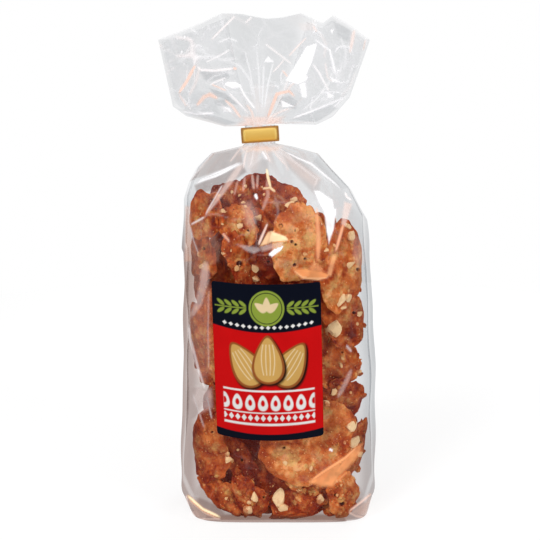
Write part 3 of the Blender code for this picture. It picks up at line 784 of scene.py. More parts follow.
def buildFilmBody():
    # (middle + a p, b q, z) on |p|^n + |q|^n = 1 at each height, moved outwards by the
    # relief and the creases, and closed by rings drawn in to the middle of the base
    columns, neckRows, top = film["columns"], film["neckRows"], filmLevels[-1, 0]
    section = (around["halfWidth"], around["halfDepth"], film["squareness"])
    angle = evenAngles(*section, columns, film["frontShare"])
    # heights at equal steps of the side's outline
    fine = np.linspace(0.0, top, 4000)
    _, wide, deep, _ = levelAt(fine)
    walk = walked(np.diff(fine), 0.7 * np.hypot(np.diff(wide), np.diff(deep)))
    z = np.interp(np.linspace(0.0, walk[-1], film["rows"] - neckRows), walk, fine)
    z = np.concatenate((z, np.linspace(top, neck["top"], neckRows + 1)[1:]))[:, None]
    middle, a, b, n = levelAt(z)
    p, q = sectionPoint(angle, n)
    a = reachAt(middle + p, z)
    x, y = middle + a * p, b * q
    out = filmRelief(p, q, x, z)
    nx, ny = signed(p, n - 1.0) / a, signed(q, n - 1.0) / b
    size = np.hypot(nx, ny)
    points = vec(x + out * nx / size, y + out * ny / size, z)
    normals = gridNormals(points, True)
    free = 1.0 - np.where(y < 0, labelMask(x, z), 0.0)  # the label's place stays smooth
    body = smooth(3.0, 12.0, z) * fade(188.0, 192.2, z)
    upper = smooth(120.0, 165.0, z)
    front = smooth(0.0, 0.3, -q)
    arc = evenArc(angle)
    lift, white, warm = crumpled(arc, z, 3, 0.30 + 0.75 * upper, 0.08 + 0.08 * upper)
    press, glint, glow = pressed(points, filmLines, filmPatches, front)
    lift = (lift * free + press * (0.2 + 0.8 * free)) * body
    lift = lift * (1.0 - 0.7 * np.abs(p) ** 8) * smooth(0.05, 0.45, np.abs(q))
    points = points + normals * lift[..., None]
    white = white * free * (0.05 + 0.13 * upper) * body
    # painted highlights: pale stripes where the shoulders are drawn in to the neck
    stripe = smooth(0.1, 0.8, flatNoise(arc * 0.55, 0.05 * z, 3.6, 71))
    white, warm = over(white, warm, stripe * smooth(172.0, 190.0, z) * 0.30, 0.66)
    white, warm = over(white, warm, glint, glow)
    smoke, dusk = over(*layersAndShadeAt(points, x, p, q, z), *shaded(points, filmShades, front))
    gloss = (0.38 + 0.62 * smooth(110.0, 160.0, z)) * (1.0 - 0.8 * smooth(0.80, 0.92, np.abs(p)))
    heart = points[0].mean(0)
    shrink = np.linspace(0.08, 1.0, film["baseRings"] + 1)[:-1, None, None]
    base = heart + (points[0] - heart)[None] * shrink
    base[..., 2] = film["floor"]
    points[0, :, 2] = film["floor"]
    hub = heart + np.array([0.0, 0.0, film["floor"]])
    flat = np.concatenate([base.reshape(-1, 3), points.reshape(-1, 3), hub[None]])
    c = np.arange(columns)
    fan = np.stack([np.full(columns, len(flat) - 1), (c + 1) % columns, c], -1)
    faces = [gridFaces(film["baseRings"] + film["rows"], columns, True), fan]
    values = {"haze": white, "warm": warm, "smoke": np.clip(smoke, 0.0, 1.0), "dusk": dusk, "gloss": gloss}
    # the base: painted shade on its film, and no painted highlights
    for key, low in (("haze", 0.0), ("warm", 0.0), ("smoke", 0.85), ("dusk", 1.0), ("gloss", 0.2)):
        values[key] = np.concatenate([np.full(base[..., 0].size, low), values[key].ravel(), [low]])
    print("film body:", len(flat), "points")
    return makePiece("filmBody", flat, faces, values)


def mouthPoint(p, q, t):
    # the open mouth: p from left to right, q from front to back, t from clip to rim;
    # its sides follow the corners of the outline, its inner strips run straighter up
    edges = []
    for side in ("left", "right"):
        corners = np.array(mouth[side])
        walk = walked(*np.diff(corners, axis=0).T)
        x, z = (np.interp(t, walk / walk[-1], corners[:, k]) for k in (0, 1))
        (x0, z0), (x1, z1) = corners[0], corners[-1]
        edges.append(((x - x0) / (x1 - x0), z - z0 - (z1 - z0) * t))
    spread, sink = (np.where(p < 0, *pair) for pair in zip(*edges))
    left, right = mouth["left"][-1][0], mouth["right"][-1][0]
    slow = t + (spread - t) * (0.35 + 0.65 * np.abs(p) ** 1.5)
    startX = neck["middle"] + neck["halfWidth"] * p
    x = startX + ((left + right) / 2 + (right - left) / 2 * p - startX) * slow
    rimZ = np.interp(np.clip(p, -1.0, 1.0), *np.array(mouth["rim"]).T)
    rimZ = rimZ + (0.07 * mouth["halfDepth"] * q - 0.25 * (1.0 + np.sin(7.0 * p))) * (1.0 - p**4)
    tilt = math.tan(math.radians(neck["tilt"])) * neck["halfWidth"]
    startZ = neck["top"] + tilt * p * (1.0 - t)
    z = startZ + (rimZ - startZ) * t + sink * np.abs(p) ** 3
    depth = neck["halfDepth"] + (mouth["halfDepth"] - neck["halfDepth"]) * smooth(0.0, 0.9, t)
    wave = 2.6 * np.sin(5.2 * p + 0.6) + 1.6 * np.sin(9.7 * p + 2.0)
    wave = wave + 1.2 * np.sin(11.0 * p + 0.4) * (1.0 - q) / 2 + 1.2 * np.sin(9.0 * p + 2.4) * (1.0 + q) / 2
    return vec(x, depth * q + t**0.8 * (1.0 - p**6) * wave, z)


def crumpleMouth(points, p, t, seed, wrap):
    # creases that run out from the clip, and flat facets farther out, with painted highlights near the clip
    # and along folds
    normals = gridNormals(points, wrap)
    ridges, fine = (
        1.0 - 2.4 * np.abs(flatNoise(p * 44.0, 5.0 * t, size, seed + k))
        for size, k in ((7.0, 0), (3.0, 4))
    )
    near = smooth(0.0, 0.06, t) * fade(0.10, 0.50, t)
    far = smooth(0.08, 0.4, t)
    calm = fade(0.90, 1.0, np.abs(p)) * (1.0 - 0.6 * smooth(0.85, 1.0, t))
    lift, white, warm = crumpled(points[..., 0], points[..., 2], seed + 9, 0.8 * far, 0.22 * far)
    lift = (lift + (0.6 * ridges + 0.25 * fine) * near) * calm
    nearWhite = 0.10 * smooth(0.4, 1.0, ridges) * near + 0.30 * fade(0.0, 0.10, t)
    return points + normals * lift[..., None], *over(0.75 * white * far, 0.35 * warm, nearWhite, 0.4)


def buildMouth():
    # one sheet from clip to rim round |p|^n + |q|^n = 1, and both side gussets, which
    # fold in between its front and back as a V
    n = mouth["squareness"]
    angle = evenAngles(*mouth["section"], n, mouth["columns"])
    t = (np.linspace(0.0, 1.0, mouth["rows"]) ** 1.3)[:, None]
    p, q = sectionPoint(angle, n)
    points, white, warm = crumpleMouth(mouthPoint(p, q, t), p, t, 21, True)
    front = smooth(0.0, 0.3, -q)
    press, glint, glow = pressed(points, mouthLines, mouthPatches, front)
    shade, _ = shaded(points, mouthShades, front)
    points = points + gridNormals(points, True) * (press * (1.0 - p**6))[..., None]
    # a painted highlight along the rim
    white, warm = over(white, warm, 0.12 * smooth(0.985, 1.0, t), 0.0)
    white, warm = over(white, warm, glint, glow)
    # painted shade makes the middle, where there are two sheets, look like the sides, where there are four
    smoke = np.maximum(0.11 * fade(0.30, 0.44, np.abs(p)) + 0.06, shade)
    sheets = [(points, white, warm, smoke, True, 1)]
    w = np.linspace(-1.0, 1.0, mouth["gussetColumns"])[None, :]
    u = (np.linspace(0.0, 0.985, mouth["gussetRows"]) ** 1.3)[:, None]
    for side, reach, seed in mouth["gussets"]:
        across = side * (0.97 - reach * (1.0 - np.abs(w) ** 1.3))
        inner = mouthPoint(across, 0.55 * w, u)
        inner[..., 2] -= 1.6 * u * (1.0 - w**2)
        # the gussets' whiteness: painted highlights, shown at half strength
        inner, veilAndSheen, veilAndSheenWarm = crumpleMouth(inner, across, u, seed, False)
        sheets.append((inner, veilAndSheen * 0.5, veilAndSheenWarm, 0.0 * veilAndSheen, False, side))
    flat = np.concatenate([s[0].reshape(-1, 3) for s in sheets])
    faces, start = [], 0
    for sheet, _, _, _, wrap, way in sheets:
        faces.append(gridFaces(*sheet.shape[:2], wrap, start)[:, ::way])
        start += sheet[..., 0].size
    values = {}
    for k, key in enumerate(("haze", "warm", "smoke"), 1):
        values[key] = np.concatenate([s[k].ravel() for s in sheets])
    values["dusk"] = np.zeros(len(flat))
    values["gloss"] = np.full(len(flat), 0.55)
    print("film mouth:", len(flat), "points")
    return makePiece("filmMouth", flat, faces, values)


def paintFilm():
    # clear film: it lets light through, mirrors more at a slant, and is milky in creases; a glowing milky
    # layer paints highlights and reflections onto it
    paint = newPaint("clearFilm")
    slant = paint.add("ShaderNodeFresnel", {}, {"IOR": 1.5})
    broad = paint.noise(9.0, 2.0)
    bump = paint.bump(broad, 0.2, 0.3)
    clear, cool, dusky = (
        paint.add("ShaderNodeBsdfTransparent", {}, {"Color": film[key]})
        for key in ("tint", "coolShade", "warmShade")
    )
    # painted shade: greyer transparent layers, cool and warm, where the film is shaded
    seen = paint.blend(paint.value("smoke"), clear, paint.blend(paint.value("dusk"), cool, dusky))
    mirror = paint.add("ShaderNodeBsdfGlossy", {}, {
        "Color": (1.0, 1.0, 1.0), "Roughness": film["roughness"], "Normal": bump,
    })
    share = (slant * film["mirror"][0]).math("MINIMUM", film["mirror"][1]) * paint.value("gloss")
    face = paint.blend(share, seen, mirror)
    # the milk's colour: white, peach for a painted reflection of the biscuits, cream for painted glints
    warm = paint.value("warm")
    tint = paint.mix(warm.held(), film["white"], film["peachReflection"])
    tint = paint.mix((warm - 1.0).held(), tint, film["cream"])
    milkAndGlints = paint.solid(tint, 0.3, bump, {"Emission Strength": film["glow"]})
    haze = (paint.value("haze") * (0.8 + broad * 0.4)).held()
    return paint.finish(paint.blend(haze, face, milkAndGlints))


# The biscuits, front to back. Each: pixel of its middle, depth y, half sizes, thickness, turn to the right,
# lean up, spin, tone from dark to light that also paints shade, bend.
biscuits = (
    ((299, 243), -27.0, (14.2, 19.5), 5.0, 10, -2, -4, 0.88, 0.08),
    ((342, 266), -18.0, (16.5, 24.5), 5.5, 34, 2, 2, 0.66, 0.1),
    ((345, 319), -15.0, (14.5, 15.5), 6.0, 28, 8, 20, 0.52, 0.08),
    ((204, 214), -14.0, (13.0, 12.5), 5.0, -36, 6, 10, 0.56, 0.1),
    ((203, 257), -11.0, (12.5, 14.0), 5.0, -46, 0, 0, 0.42, 0.1),
    ((243, 197), -11.0, (12.5, 10.5), 5.0, -14, 12, 24, 0.44, 0.1),
    ((262, 188), -10.0, (9.5, 9.0), 5.0, 4, 14, 0, 0.22, 0.1),
    ((239, 224), -21.0, (10.5, 12.0), 5.0, -20, 6, 20, 0.68, 0.16),
    ((237, 258), -24.0, (7.5, 14.0), 4.5, 24, -6, 24, 0.46, 0.3),
    ((280, 203), -13.0, (14.5, 11.5), 5.5, 10, 14, -36, 0.26, 0.1),
    ((262, 246), -18.0, (13.0, 18.0), 6.0, -4, 2, 0, 0.22, 0.06),
    ((206, 338), -15.0, (17.0, 23.5), 5.5, -46, 2, 0, 0.6, 0.1),
    ((338, 364), -15.0, (14.5, 13.5), 6.0, 24, 10, -10, 0.52, 0.1),
    ((340, 400), -18.0, (14.5, 15.0), 5.5, 20, -6, 12, 0.26, 0.12),
    ((306, 439), -27.0, (25.0, 22.5), 6.0, 6, 8, 4, 0.72, 0.06),
    ((352, 448), -17.0, (10.5, 15.0), 6.0, 46, 0, 0, 0.45, 0.1),
    ((362, 428), -10.0, (8.5, 6.5), 6.0, 40, 0, 0, 0.46, 0.1),
    ((210, 447), -20.0, (13.5, 19.5), 6.0, -30, 2, 8, 0.48, 0.1),
    ((243, 466), -20.0, (8.0, 19.0), 6.0, 10, 6, 24, 0.28, 0.1),
    ((224, 494), -23.0, (16.5, 8.0), 6.5, -14, 10, -34, 0.58, 0.1),
    ((252, 501), -25.0, (9.5, 8.5), 6.0, 0, 14, -30, 0.42, 0.1),
    ((296, 503), -24.0, (15.5, 8.0), 7.0, 4, 18, 4, 0.36, 0.1),
    ((296, 486), -27.0, (7.5, 3.2), 3.0, 0, 30, -28, 0.6, 0.1),
    ((318, 492), -22.0, (8.0, 7.5), 6.0, 10, 10, 0, 0.36, 0.1),
    ((344, 494), -23.0, (10.0, 12.0), 6.5, 20, 8, 0, 0.7, 0.08),
    ((250, 322), -20.0, (22.0, 22.0), 7.0, -6, 4, 0, 0.4, 0.06),
    ((292, 330), -19.0, (22.0, 24.0), 7.0, 8, 0, 0, 0.5, 0.06),
    ((258, 385), -21.0, (22.0, 22.0), 7.0, -4, -6, 0, 0.36, 0.06),
    ((300, 392), -18.0, (20.0, 20.0), 7.0, 12, 6, 0, 0.4, 0.06),
    ((262, 470), -17.0, (21.0, 22.0), 7.0, 0, 4, 0, 0.28, 0.06),
    ((300, 497), -14.0, (22.0, 16.0), 7.0, 0, 4, 0, 0.3, 0.06),
    ((248, 500), -13.0, (16.0, 14.0), 6.0, 0, 78, 0, 0.34, 0.04),
    ((300, 501), -14.0, (22.0, 14.0), 6.0, 10, 80, 40, 0.34, 0.04),
    ((334, 500), -12.0, (12.0, 14.0), 6.0, 0, 76, 0, 0.38, 0.04),
    ((209, 287), -6.0, (11.0, 20.0), 6.0, -30, 0, 0, 0.36, 0.1),
    ((226, 201), -9.0, (9.0, 10.5), 5.0, -10, 8, 0, 0.5, 0.1),
    ((246, 492), -26.0, (6.0, 11.5), 5.0, 6, 10, 30, 0.38, 0.14),
)
# All the rest, by height: levels of the heap, discs at the back as (x, height, half size),
# and both flanks as (side, heights).
batter = {
    "seed": 11, "columns": 150, "rows": 60, "backColumns": 72, "backRows": 27, "glow": 0.10,
    "pieces": (("biscuitsUpper", 0, 10), ("biscuitsMiddle", 10, 20), ("biscuitsLower", 20, 30),
               ("biscuitsInner", 30, 40)),
    "levels": (19.0, 39.0, 64.0, 86.0, 108.0, 129.0),
    "behind": ((-20.0, 20.0, 18.0), (8.0, 14.0, 15.0), (29.0, 26.0, 17.0), (4.0, 38.0, 19.0),
               (-24.0, 52.0, 18.0), (27.0, 59.0, 19.0), (0.0, 68.0, 16.0), (-23.0, 84.0, 20.0),
               (20.0, 90.0, 18.0), (-4.0, 104.0, 17.0), (31.0, 111.0, 16.0), (-25.0, 119.0, 17.0),
               (6.0, 128.0, 20.0), (27.0, 137.0, 15.0), (-14.0, 144.0, 15.0)),
    "flanks": ((-1.0, (24.0, 84.0, 110.0, 134.0)), (1.0, (20.0, 45.0, 70.0, 95.0, 119.0, 140.0))),
}
# Holes in the biscuits: pixel and half width in pixels.
shownHoles = (
    (281.0, 226.0, 2.8), (305.0, 259.0, 1.8), (294.6, 265.0, 2.2), (239.6, 264.0, 4.0),
    (354.0, 312.6, 2.0), (342.0, 504.0, 3.0), (284.0, 448.0, 1.8), (212.0, 432.0, 1.6),
    (359.0, 269.5, 2.4),
)


def discProfile(rows, radius, half, squareness):
    # half outline of the section from its lower middle to its upper middle
    angle = np.linspace(-math.pi / 2, math.pi / 2, 1441)
    rho = np.cos(angle).clip(0.0) ** (2.0 / squareness)
    zeta = signed(np.sin(angle), 2.0 / squareness)
    walk = walked(radius * np.diff(rho), 2.0 * half * np.diff(zeta))
    at = np.linspace(0.0, 1.0, rows) ** 0.8 * walk[-1]  # closer on the side that is seen
    return np.interp(at, walk, rho)[:, None], np.interp(at, walk, zeta)[:, None]


def spun(degrees, first, second):
    # a turn from one axis towards another
    turn, matrix = np.radians(degrees), np.eye(3)
    matrix[first, first] = matrix[second, second] = np.cos(turn)
    matrix[second, first] = np.sin(turn)
    matrix[first, second] = -np.sin(turn)
    return matrix


def turned(turn, lean, spin):
    # columns: the biscuit's right, up and facing directions in the bag
    facing = np.array([[1, 0, 0], [0, 0, -1], [0, 1, 0]], float)
    return spun(turn, 0, 1) @ spun(-lean, 1, 2) @ facing @ spun(spin, 0, 1)


def tuckIn(points, room):
    # draws points that would pass the film back inside it, and off the floor
    z = np.clip(points[..., 2], 1.0, 188.0)
    middle, _, b, n = levelAt(z)
    a = reachAt(points[..., 0], z)
    x, y = (points[..., 0] - middle) / a, points[..., 1] / b
    reach = (np.abs(x) ** n + np.abs(y) ** n) ** (1.0 / n)
    allowed = room - 1.6 / b
    eased = allowed - 0.1 * np.exp(-(reach - allowed + 0.1) / 0.1)
    scale = np.where(reach > allowed - 0.1, eased, reach) / np.maximum(reach, 1e-6)
    return vec(middle + x * a * scale, points[..., 1] * scale, z)


def brokenRim(t, count, seed):
    # random numbers at even steps round the rim, joined by straight runs, from -1 to 1
    step = t / fullTurn * count + 0.3 * np.sin(3.0 * t + seed)
    i = np.floor(step).astype(np.int64)
    a, b = (lattice(j % count, 0, 0, seed) for j in (i, i + 1))
    return (a + (b - a) * (step - i)) * 2.0 - 1.0


def shapeBiscuit(spec, rows, columns, seed):
    # a thin uneven disc: (a R rho cos t, b R rho sin t, half zeta), bent, blistered and pitted
    middle, (a, b), thick, turn, lean, spin, tone, bend = spec
    rho, zeta = discProfile(rows, (a + b) / 2, thick / 2, 1.75)
    t = (np.arange(columns) / columns * fullTurn)[None, :]
    offset = np.array([17.0, 5.0, 9.0]) * seed
    loop = vec(np.cos(t), np.sin(t), 0.0)

    def rimNoise(reach, size, k):
        return softNoise(loop * reach + offset, size, seed + k)

    ragged = 1.0 + 0.13 * rimNoise(10.0, 9.0, 0) + 0.11 * rimNoise(20.0, 8.0, 1)
    wild = smooth(-0.3, 0.6, rimNoise(20.0, 12.0, 8))
    ragged = ragged + 0.035 * brokenRim(t, 23, seed + 2) + 0.045 * wild * brokenRim(t, 47, seed + 6)
    x, y = a * ragged * rho * np.cos(t), b * ragged * rho * np.sin(t)
    flat = vec(x, y, 0.0) + offset
    points = vec(x, y, thick / 2 * zeta * (0.85 + 0.3 * softNoise(flat, 12.0, seed + 3)))
    blunt = rho**1.3
    normal = unit(vec(blunt * np.cos(t) / a, blunt * np.sin(t) / b, signed(zeta, 1.3) / thick))
    face = points + offset + vec(0.0, 0.0, smooth(-0.2, 0.2, zeta) * 5.0)
    rimward = smooth(0.70, 1.0, rho)
    folded = 1.0 - 2.2 * np.abs(softNoise(face, 8.0, seed + 10))
    rough = roughNoise(face, 2.6, seed + 11, 3)
    near, mark = cells(face, 5.6, seed + 4)
    knob = fade(0.10, 0.72, near) * smooth(0.10, 0.9, mark)
    near, mark = cells(face, 2.9, seed + 7)
    grain = fade(0.05, 0.75, near) * smooth(0.0, 0.8, mark)
    burst = (mark > 0.955) * (1.0 - rimward)
    pit = burst * fade(0.16, 0.36, near)
    plates, _ = facets(face[..., 0], face[..., 1], 5.6, seed + 20)
    lift = 0.9 * softNoise(face, 12.0, seed + 9) + 0.50 * folded + 0.24 * rough
    lift = lift + 0.75 * knob + 0.36 * grain + 0.70 * plates
    lift = lift - 1.5 * pit + 0.25 * burst * bell(near - 0.40, 0.10) - 1.1
    points = points + normal * lift[..., None]
    u, v = points[..., 0] / a, points[..., 1] / b
    sag = bend * (a + b) * (0.6 * (u**2 - 0.3) * np.cos(seed * 1.7) + 0.5 * u * v + 0.3 * v**2)
    points[..., 2] += sag + 1.3 * softNoise(flat, 15.0, seed + 12)
    patch = softNoise(flat + 3.0, 13.0, seed + 15) + 0.5 * softNoise(flat, 5.0, seed + 16)
    # painted light: the crumb is lighter where knobs, grains, folds and roughness lift it
    shade = tone - 0.26 + 0.26 * patch + 0.16 * folded + 0.18 * rough + 0.32 * knob + 0.26 * grain
    shade = shade - 0.14 * rimward * (0.6 + rimNoise(20.0, 6.0, 5))
    matrix = turned(turn, lean, spin)
    placed, normal = points @ matrix.T + middle, normal @ matrix.T
    # painted shade: darker, and through its rim value redder, towards its upper left
    above = (placed - middle) @ np.array([-0.55, 0.0, 0.83]) / max(a, b)
    shade = shade - 0.10 * smooth(0.2, 0.9, above)
    # holes with a raised lip where the photograph shows them
    px, py, _ = toPixel(placed)
    for wantX, wantY, width in shownHoles:
        gap = np.hypot(px - wantX, (py - wantY) * 1.2) / width + 9.0 * (zeta < 0.0)
        hole, lip = fade(0.5, 1.0, gap), bell(gap - 1.35, 0.35)
        pit = np.maximum(pit, hole)
        placed = placed + normal * (0.35 * lip - 1.3 * hole)[..., None]
        # painted shade in the hole and a painted highlight on its lip
        shade = shade + 0.2 * lip - 0.2 * hole
    values = {
        "tone": np.clip(shade, 0.0, 1.2),
        "pit": np.clip(pit * 1.3, 0.0, 1.0),
        "rim": np.clip(0.6 * rimward + 0.7 * smooth(0.1, 0.9, above), 0.0, 1.0),
    }
    return tuckIn(placed, 0.985), values, normal


def sealDisc(points, values, start):
    # a grid whose first and last rows are poles becomes one closed surface
    rows, columns = points.shape[:2]

    def closed(grid):
        inner = grid[1:-1].reshape(-1, *grid.shape[2:])
        return np.concatenate([grid[0].mean(0)[None], inner, grid[-1].mean(0)[None]])

    flat = closed(points)
    c = np.arange(columns)
    low = start + 1 + np.stack([c, (c + 1) % columns])
    high = low + (rows - 3) * columns
    first = np.stack([np.full(columns, start), low[1], low[0]], -1)
    last = np.stack([high[0], high[1], np.full(columns, start + len(flat) - 1)], -1)
    quads = gridFaces(rows - 2, columns, True, start + 1)
    return flat, {key: closed(v) for key, v in values.items()}, quads, np.concatenate([first, last])


def joinDiscs(name, discs):
    # several closed surfaces as one mesh
    start, parts = 0, []
    for grid, own in discs:
        parts.append(sealDisc(grid, own, start))
        start += len(parts[-1][0])
    points, values, quads, tris = zip(*parts)
    values = {key: np.concatenate([v[key] for v in values]) for key in values[0]}
    faces = [np.concatenate(quads), np.concatenate(tris)]
    count = 2 * len(faces[0]) + len(faces[1])
    print(name + ":", len(discs), "pieces,", count, "triangles")
    return makePiece(name, np.concatenate(points), faces, values)


def backBiscuits():
    # the rest of the heap by a seeded draw: leaning behind the front, staggered at the
    # back and turned outwards on both sides
    draw = np.random.default_rng(batter["seed"])
    specs = []

    def near(reach):
        return draw.uniform(-reach, reach)

    def add(x, y, z, size, turn, lean):
        place = np.array([x + near(2), y + near(2), z + near(3)])
        halves = (size, size * draw.uniform(0.8, 1.0))
        specs.append((place, halves, draw.uniform(5.5, 8.0), turn, lean, draw.uniform(0, 360),
                      draw.uniform(0.34, 0.74), draw.uniform(0.06, 0.20)))

    for z in batter["levels"]:
        for y, turn, lean in ((4.0, 36.0, 26.0), (15.0, 50.0, 34.0)):
            for column in (-1.0, 1.0):
                x = 3.0 + column * draw.uniform(15.0, 18.0)
                add(x, y, z, draw.uniform(18.0, 21.0), near(turn), near(lean))
    for x, y in ((-12.0, 6.0), (8.0, 8.0), (-4.0, 20.0)):
        add(x, y, 148.0, draw.uniform(14.0, 16.0), near(40), near(20))
    for x, z, size in batter["behind"]:
        turn = 180.0 - 1.1 * (x - 3.0) + near(26)
        add(x, 27.0, z, size, turn, near(24))
    for side, levels in batter["flanks"]:
        for z in levels:
            turn = side * draw.uniform(64.0, 94.0)
            add(3.0 + side * 32.5, draw.uniform(2.0, 12.0), z, draw.uniform(17.0, 19.5), turn, near(20))
    return specs


def paintBiscuit():
    # caramel crumb from red-brown to orange-tan in grainy patches, with painted shade in its pits and pores
    # and a painted glow
    paint = newPaint("biscuitCrumb")
    tone, pit, rim = paint.value("tone"), paint.value("pit"), paint.value("rim")
    speck, cloud = paint.noise(1.3, 3.0, 0.6), paint.noise(4.0, 4.0, 0.6)
    shade = (tone + (speck - 0.5) * 0.55 + (cloud - 0.5) * 0.80).held()
    base = paint.add("ShaderNodeValToRGB", {"stops": (
        (0.0, (0.15, 0.009, 0.002)), (0.22, (0.29, 0.030, 0.005)), (0.48, (0.48, 0.092, 0.017)),
        (0.74, (0.66, 0.205, 0.052)), (1.0, (0.88, 0.43, 0.17)),
    )}, {0: shade})
    # over it: golden, dusty rose and glazed patches, each from dark to light
    # the rim value makes it less golden and more glazed; at each biscuit's upper left that is painted shade
    tan = paint.noise(6.5, 4.0, 0.6).step(0.47, 0.60) * (1.0 - rim * 0.8)
    rosy = paint.noise(8.0, 4.0, 0.6).step(0.55, 0.68)
    glaze = (paint.noise(9.0, 4.0, 0.6).step(0.46, 0.62) * (1.3 - shade) + rim * 0.5).held()
    for share, dark, light in (
        ((tan * (shade * 1.7)).held() * 0.80, (0.25, 0.060, 0.010), (0.76, 0.44, 0.15)),
        ((rosy * shade).held() * 0.55, (0.20, 0.040, 0.016), (0.66, 0.32, 0.18)),
        (glaze * 0.75, (0.25, 0.018, 0.003), (0.82, 0.19, 0.026)),
    ):
        base = paint.mix(share, base, paint.mix(shade, dark, light))
    pore = 1.0 - paint.voronoi(1.1).step(0.10, 0.30)
    grit = 1.0 - paint.voronoi(2.3).step(0.08, 0.17)
    # painted shade: near black in pits, darker in pores
    base = paint.mix((pit * 0.9).held(), base, (0.05, 0.008, 0.004))
    base = paint.mix((pore * 0.3).held(), base, (0.15, 0.026, 0.008))
    base = paint.mix((grit * 0.7).held(), base, (0.90, 0.50, 0.22))
    height = speck * 0.9 - pore * 0.6 + paint.noise(0.6, 2.0) * 0.2 + grit * 0.4
    rough = (0.60 - cloud * 0.25 + pit * 0.2).held()
    return paint.finish(paint.solid(base, rough, paint.bump(height, 0.5, 0.8), {
        "Specular IOR Level": 0.3, "Emission Strength": batter["glow"], "Subsurface Weight": 0.28,
        "Subsurface Radius": (1.0, 0.22, 0.08), "Subsurface Scale": 1.8 * metre,
    }))


# Almond chunks seen in the photograph: pixel and half size. The others: how many on the
# front biscuits and on the rest, with their half sizes.
shownNuts = (
    (337, 327, 6.0), (343, 300, 3.6), (350, 298, 3.4), (346, 308, 2.6), (361, 313, 2.8),
    (349, 226, 2.6), (354, 235, 3.0), (354, 265, 2.6), (257, 216, 2.4), (225, 210, 1.8),
    (288, 203, 2.4), (297, 199, 2.4), (258, 268, 2.8), (256, 281, 2.4), (326, 404, 2.4),
    (335, 391, 2.2), (354, 427, 5.2), (275, 498, 5.0), (362, 454, 2.8), (226, 460, 2.6),
    (357, 441, 4.4), (283, 507, 3.4), (324, 498, 3.2), (256, 497, 3.4), (251, 510, 3.6),
    (313, 470, 1.8), (285, 462, 2.0), (361, 372, 2.2), (218, 196, 1.6), (243, 200, 1.6),
    (363, 463, 2.0), (329, 249, 1.8), (322, 226, 1.2), (367, 378, 2.0),
)
almonds = {
    "front": 140, "frontSizes": (1.0, 1.3, 1.7, 2.1), "rest": 130, "restSizes": (1.6, 2.2, 3.0, 3.8),
    "chances": (0.35, 0.3, 0.2, 0.15), "shownGrid": (11, 16),
}


def shapeNut(size, draw, rows=5, columns=7):
    # a chopped nut: radius = least of d / (direction . n) over random cutting planes
    zeta = np.linspace(-1.0, 1.0, rows)[:, None] * math.pi / 2
    t = (np.arange(columns) / columns * fullTurn)[None, :] + draw.uniform(0.0, 1.0)
    way = vec(np.cos(zeta) * np.cos(t), np.cos(zeta) * np.sin(t), np.sin(zeta))
    planes = draw.normal(size=(8, 3)) * (1.0, 1.0, 0.4)
    planes[0] = (0.15, 0.1, 1.0)
    planes = unit(planes)
    reach = draw.uniform(0.5, 0.85, 8)
    radius = np.minimum((reach / np.maximum(way @ planes.T, 0.05)).min(-1), 1.25)
    stretch = np.array([1.0, draw.uniform(0.55, 0.95), draw.uniform(0.5, 0.75)])
    points = way * radius[..., None] * stretch * size
    skin = smooth(0.55, 0.8, way @ planes[1])
    sunk = fade(-0.35, 0.30, way[..., 2] + 0.2 * draw.normal(size=way.shape[:2]))
    return points, skin, sunk


def standing(normal, draw):
    # columns: a chance direction along the surface, the one square to it, and the normal
    side = unit(np.cross(normal, draw.normal(size=3)))
    return np.stack([side, np.cross(normal, side), normal], 1)


def surfaceOf(discs):
    # all points of the biscuits but those near their poles: place, normal, rim and tone with its painted
    # shade
    grids, values, normals = zip(*discs)
    lists = (grids, normals, [v["rim"] for v in values], [v["tone"] for v in values])
    return [np.concatenate([g[2:-2].reshape(-1, *g.shape[2:]) for g in own]) for own in lists]


def buildNuts(discs):
    # chopped almonds where the photograph shows them, and by chance elsewhere
    draw = np.random.default_rng(batter["seed"] + 5)
    surface, normals, _, _ = surfaceOf(discs)
    px, py, depth = toPixel(surface)
    nuts = []
    for wantX, wantY, size in shownNuts:
        near = np.hypot(px - wantX, py - wantY) < 2.5
        if near.any():
            nuts.append((np.flatnonzero(near)[np.argmin(depth[near])], size, 1.0))
    ahead = len(biscuits) * (batter["rows"] - 4) * batter["columns"]
    outwards = (normals * surface / np.linalg.norm(surface[:, :2], axis=1)[:, None])[:, :2].sum(1)
    rest = ahead + np.flatnonzero(outwards[ahead:] > 0.5)
    picks = [draw.integers(0, ahead, almonds["front"]), draw.choice(rest, almonds["rest"])]
    for pick in np.concatenate(picks):
        sizes = almonds["frontSizes" if pick < ahead else "restSizes"]
        nuts.append((pick, draw.choice(sizes, p=almonds["chances"]), 0.0))
    made = []
    for pick, size, shown in nuts:
        points, skin, sunk = shapeNut(size, draw, *(almonds["shownGrid"] if shown else ()))
        place = surface[pick] - normals[pick] * size * draw.uniform(0.0, 0.25)
        points = tuckIn(points @ standing(normals[pick], draw).T + place, 1.0)
        pale = np.full(skin.shape, min(0.35 + 0.16 * size, 1.0) if shown else draw.uniform(0.0, 0.9))
        brown = skin * draw.choice([0.0, 1.0], p=[0.6, 0.4]) * (1.0 - shown)
        made.append((points, {"skin": brown, "pale": pale, "sunk": sunk}))
    piece = joinDiscs("almondPieces", made)
    piece.data.polygons.foreach_set("use_smooth", np.zeros(len(piece.data.polygons), bool))
    return piece


# Torn tips of biscuits that stand out at the edge of the heap: pixel and size. Then how many
# splinters are at rims below a pixel row, loose anywhere, and in a low zone of pixels.
shownTips = (
    (368, 326, 3.4), (368, 396, 4.0), (364, 374, 3.4), (369, 475, 3.0), (361, 388, 2.8),
    (372, 424, 3.0), (358, 360, 2.8), (356, 506, 3.0), (366, 452, 2.8), (246, 514, 3.0),
    (367, 291, 2.2),
)
splinters = {"rims": 40, "rimsBelow": 220, "loose": 150, "low": 110, "lowZone": (196, 350, 470, 514)}


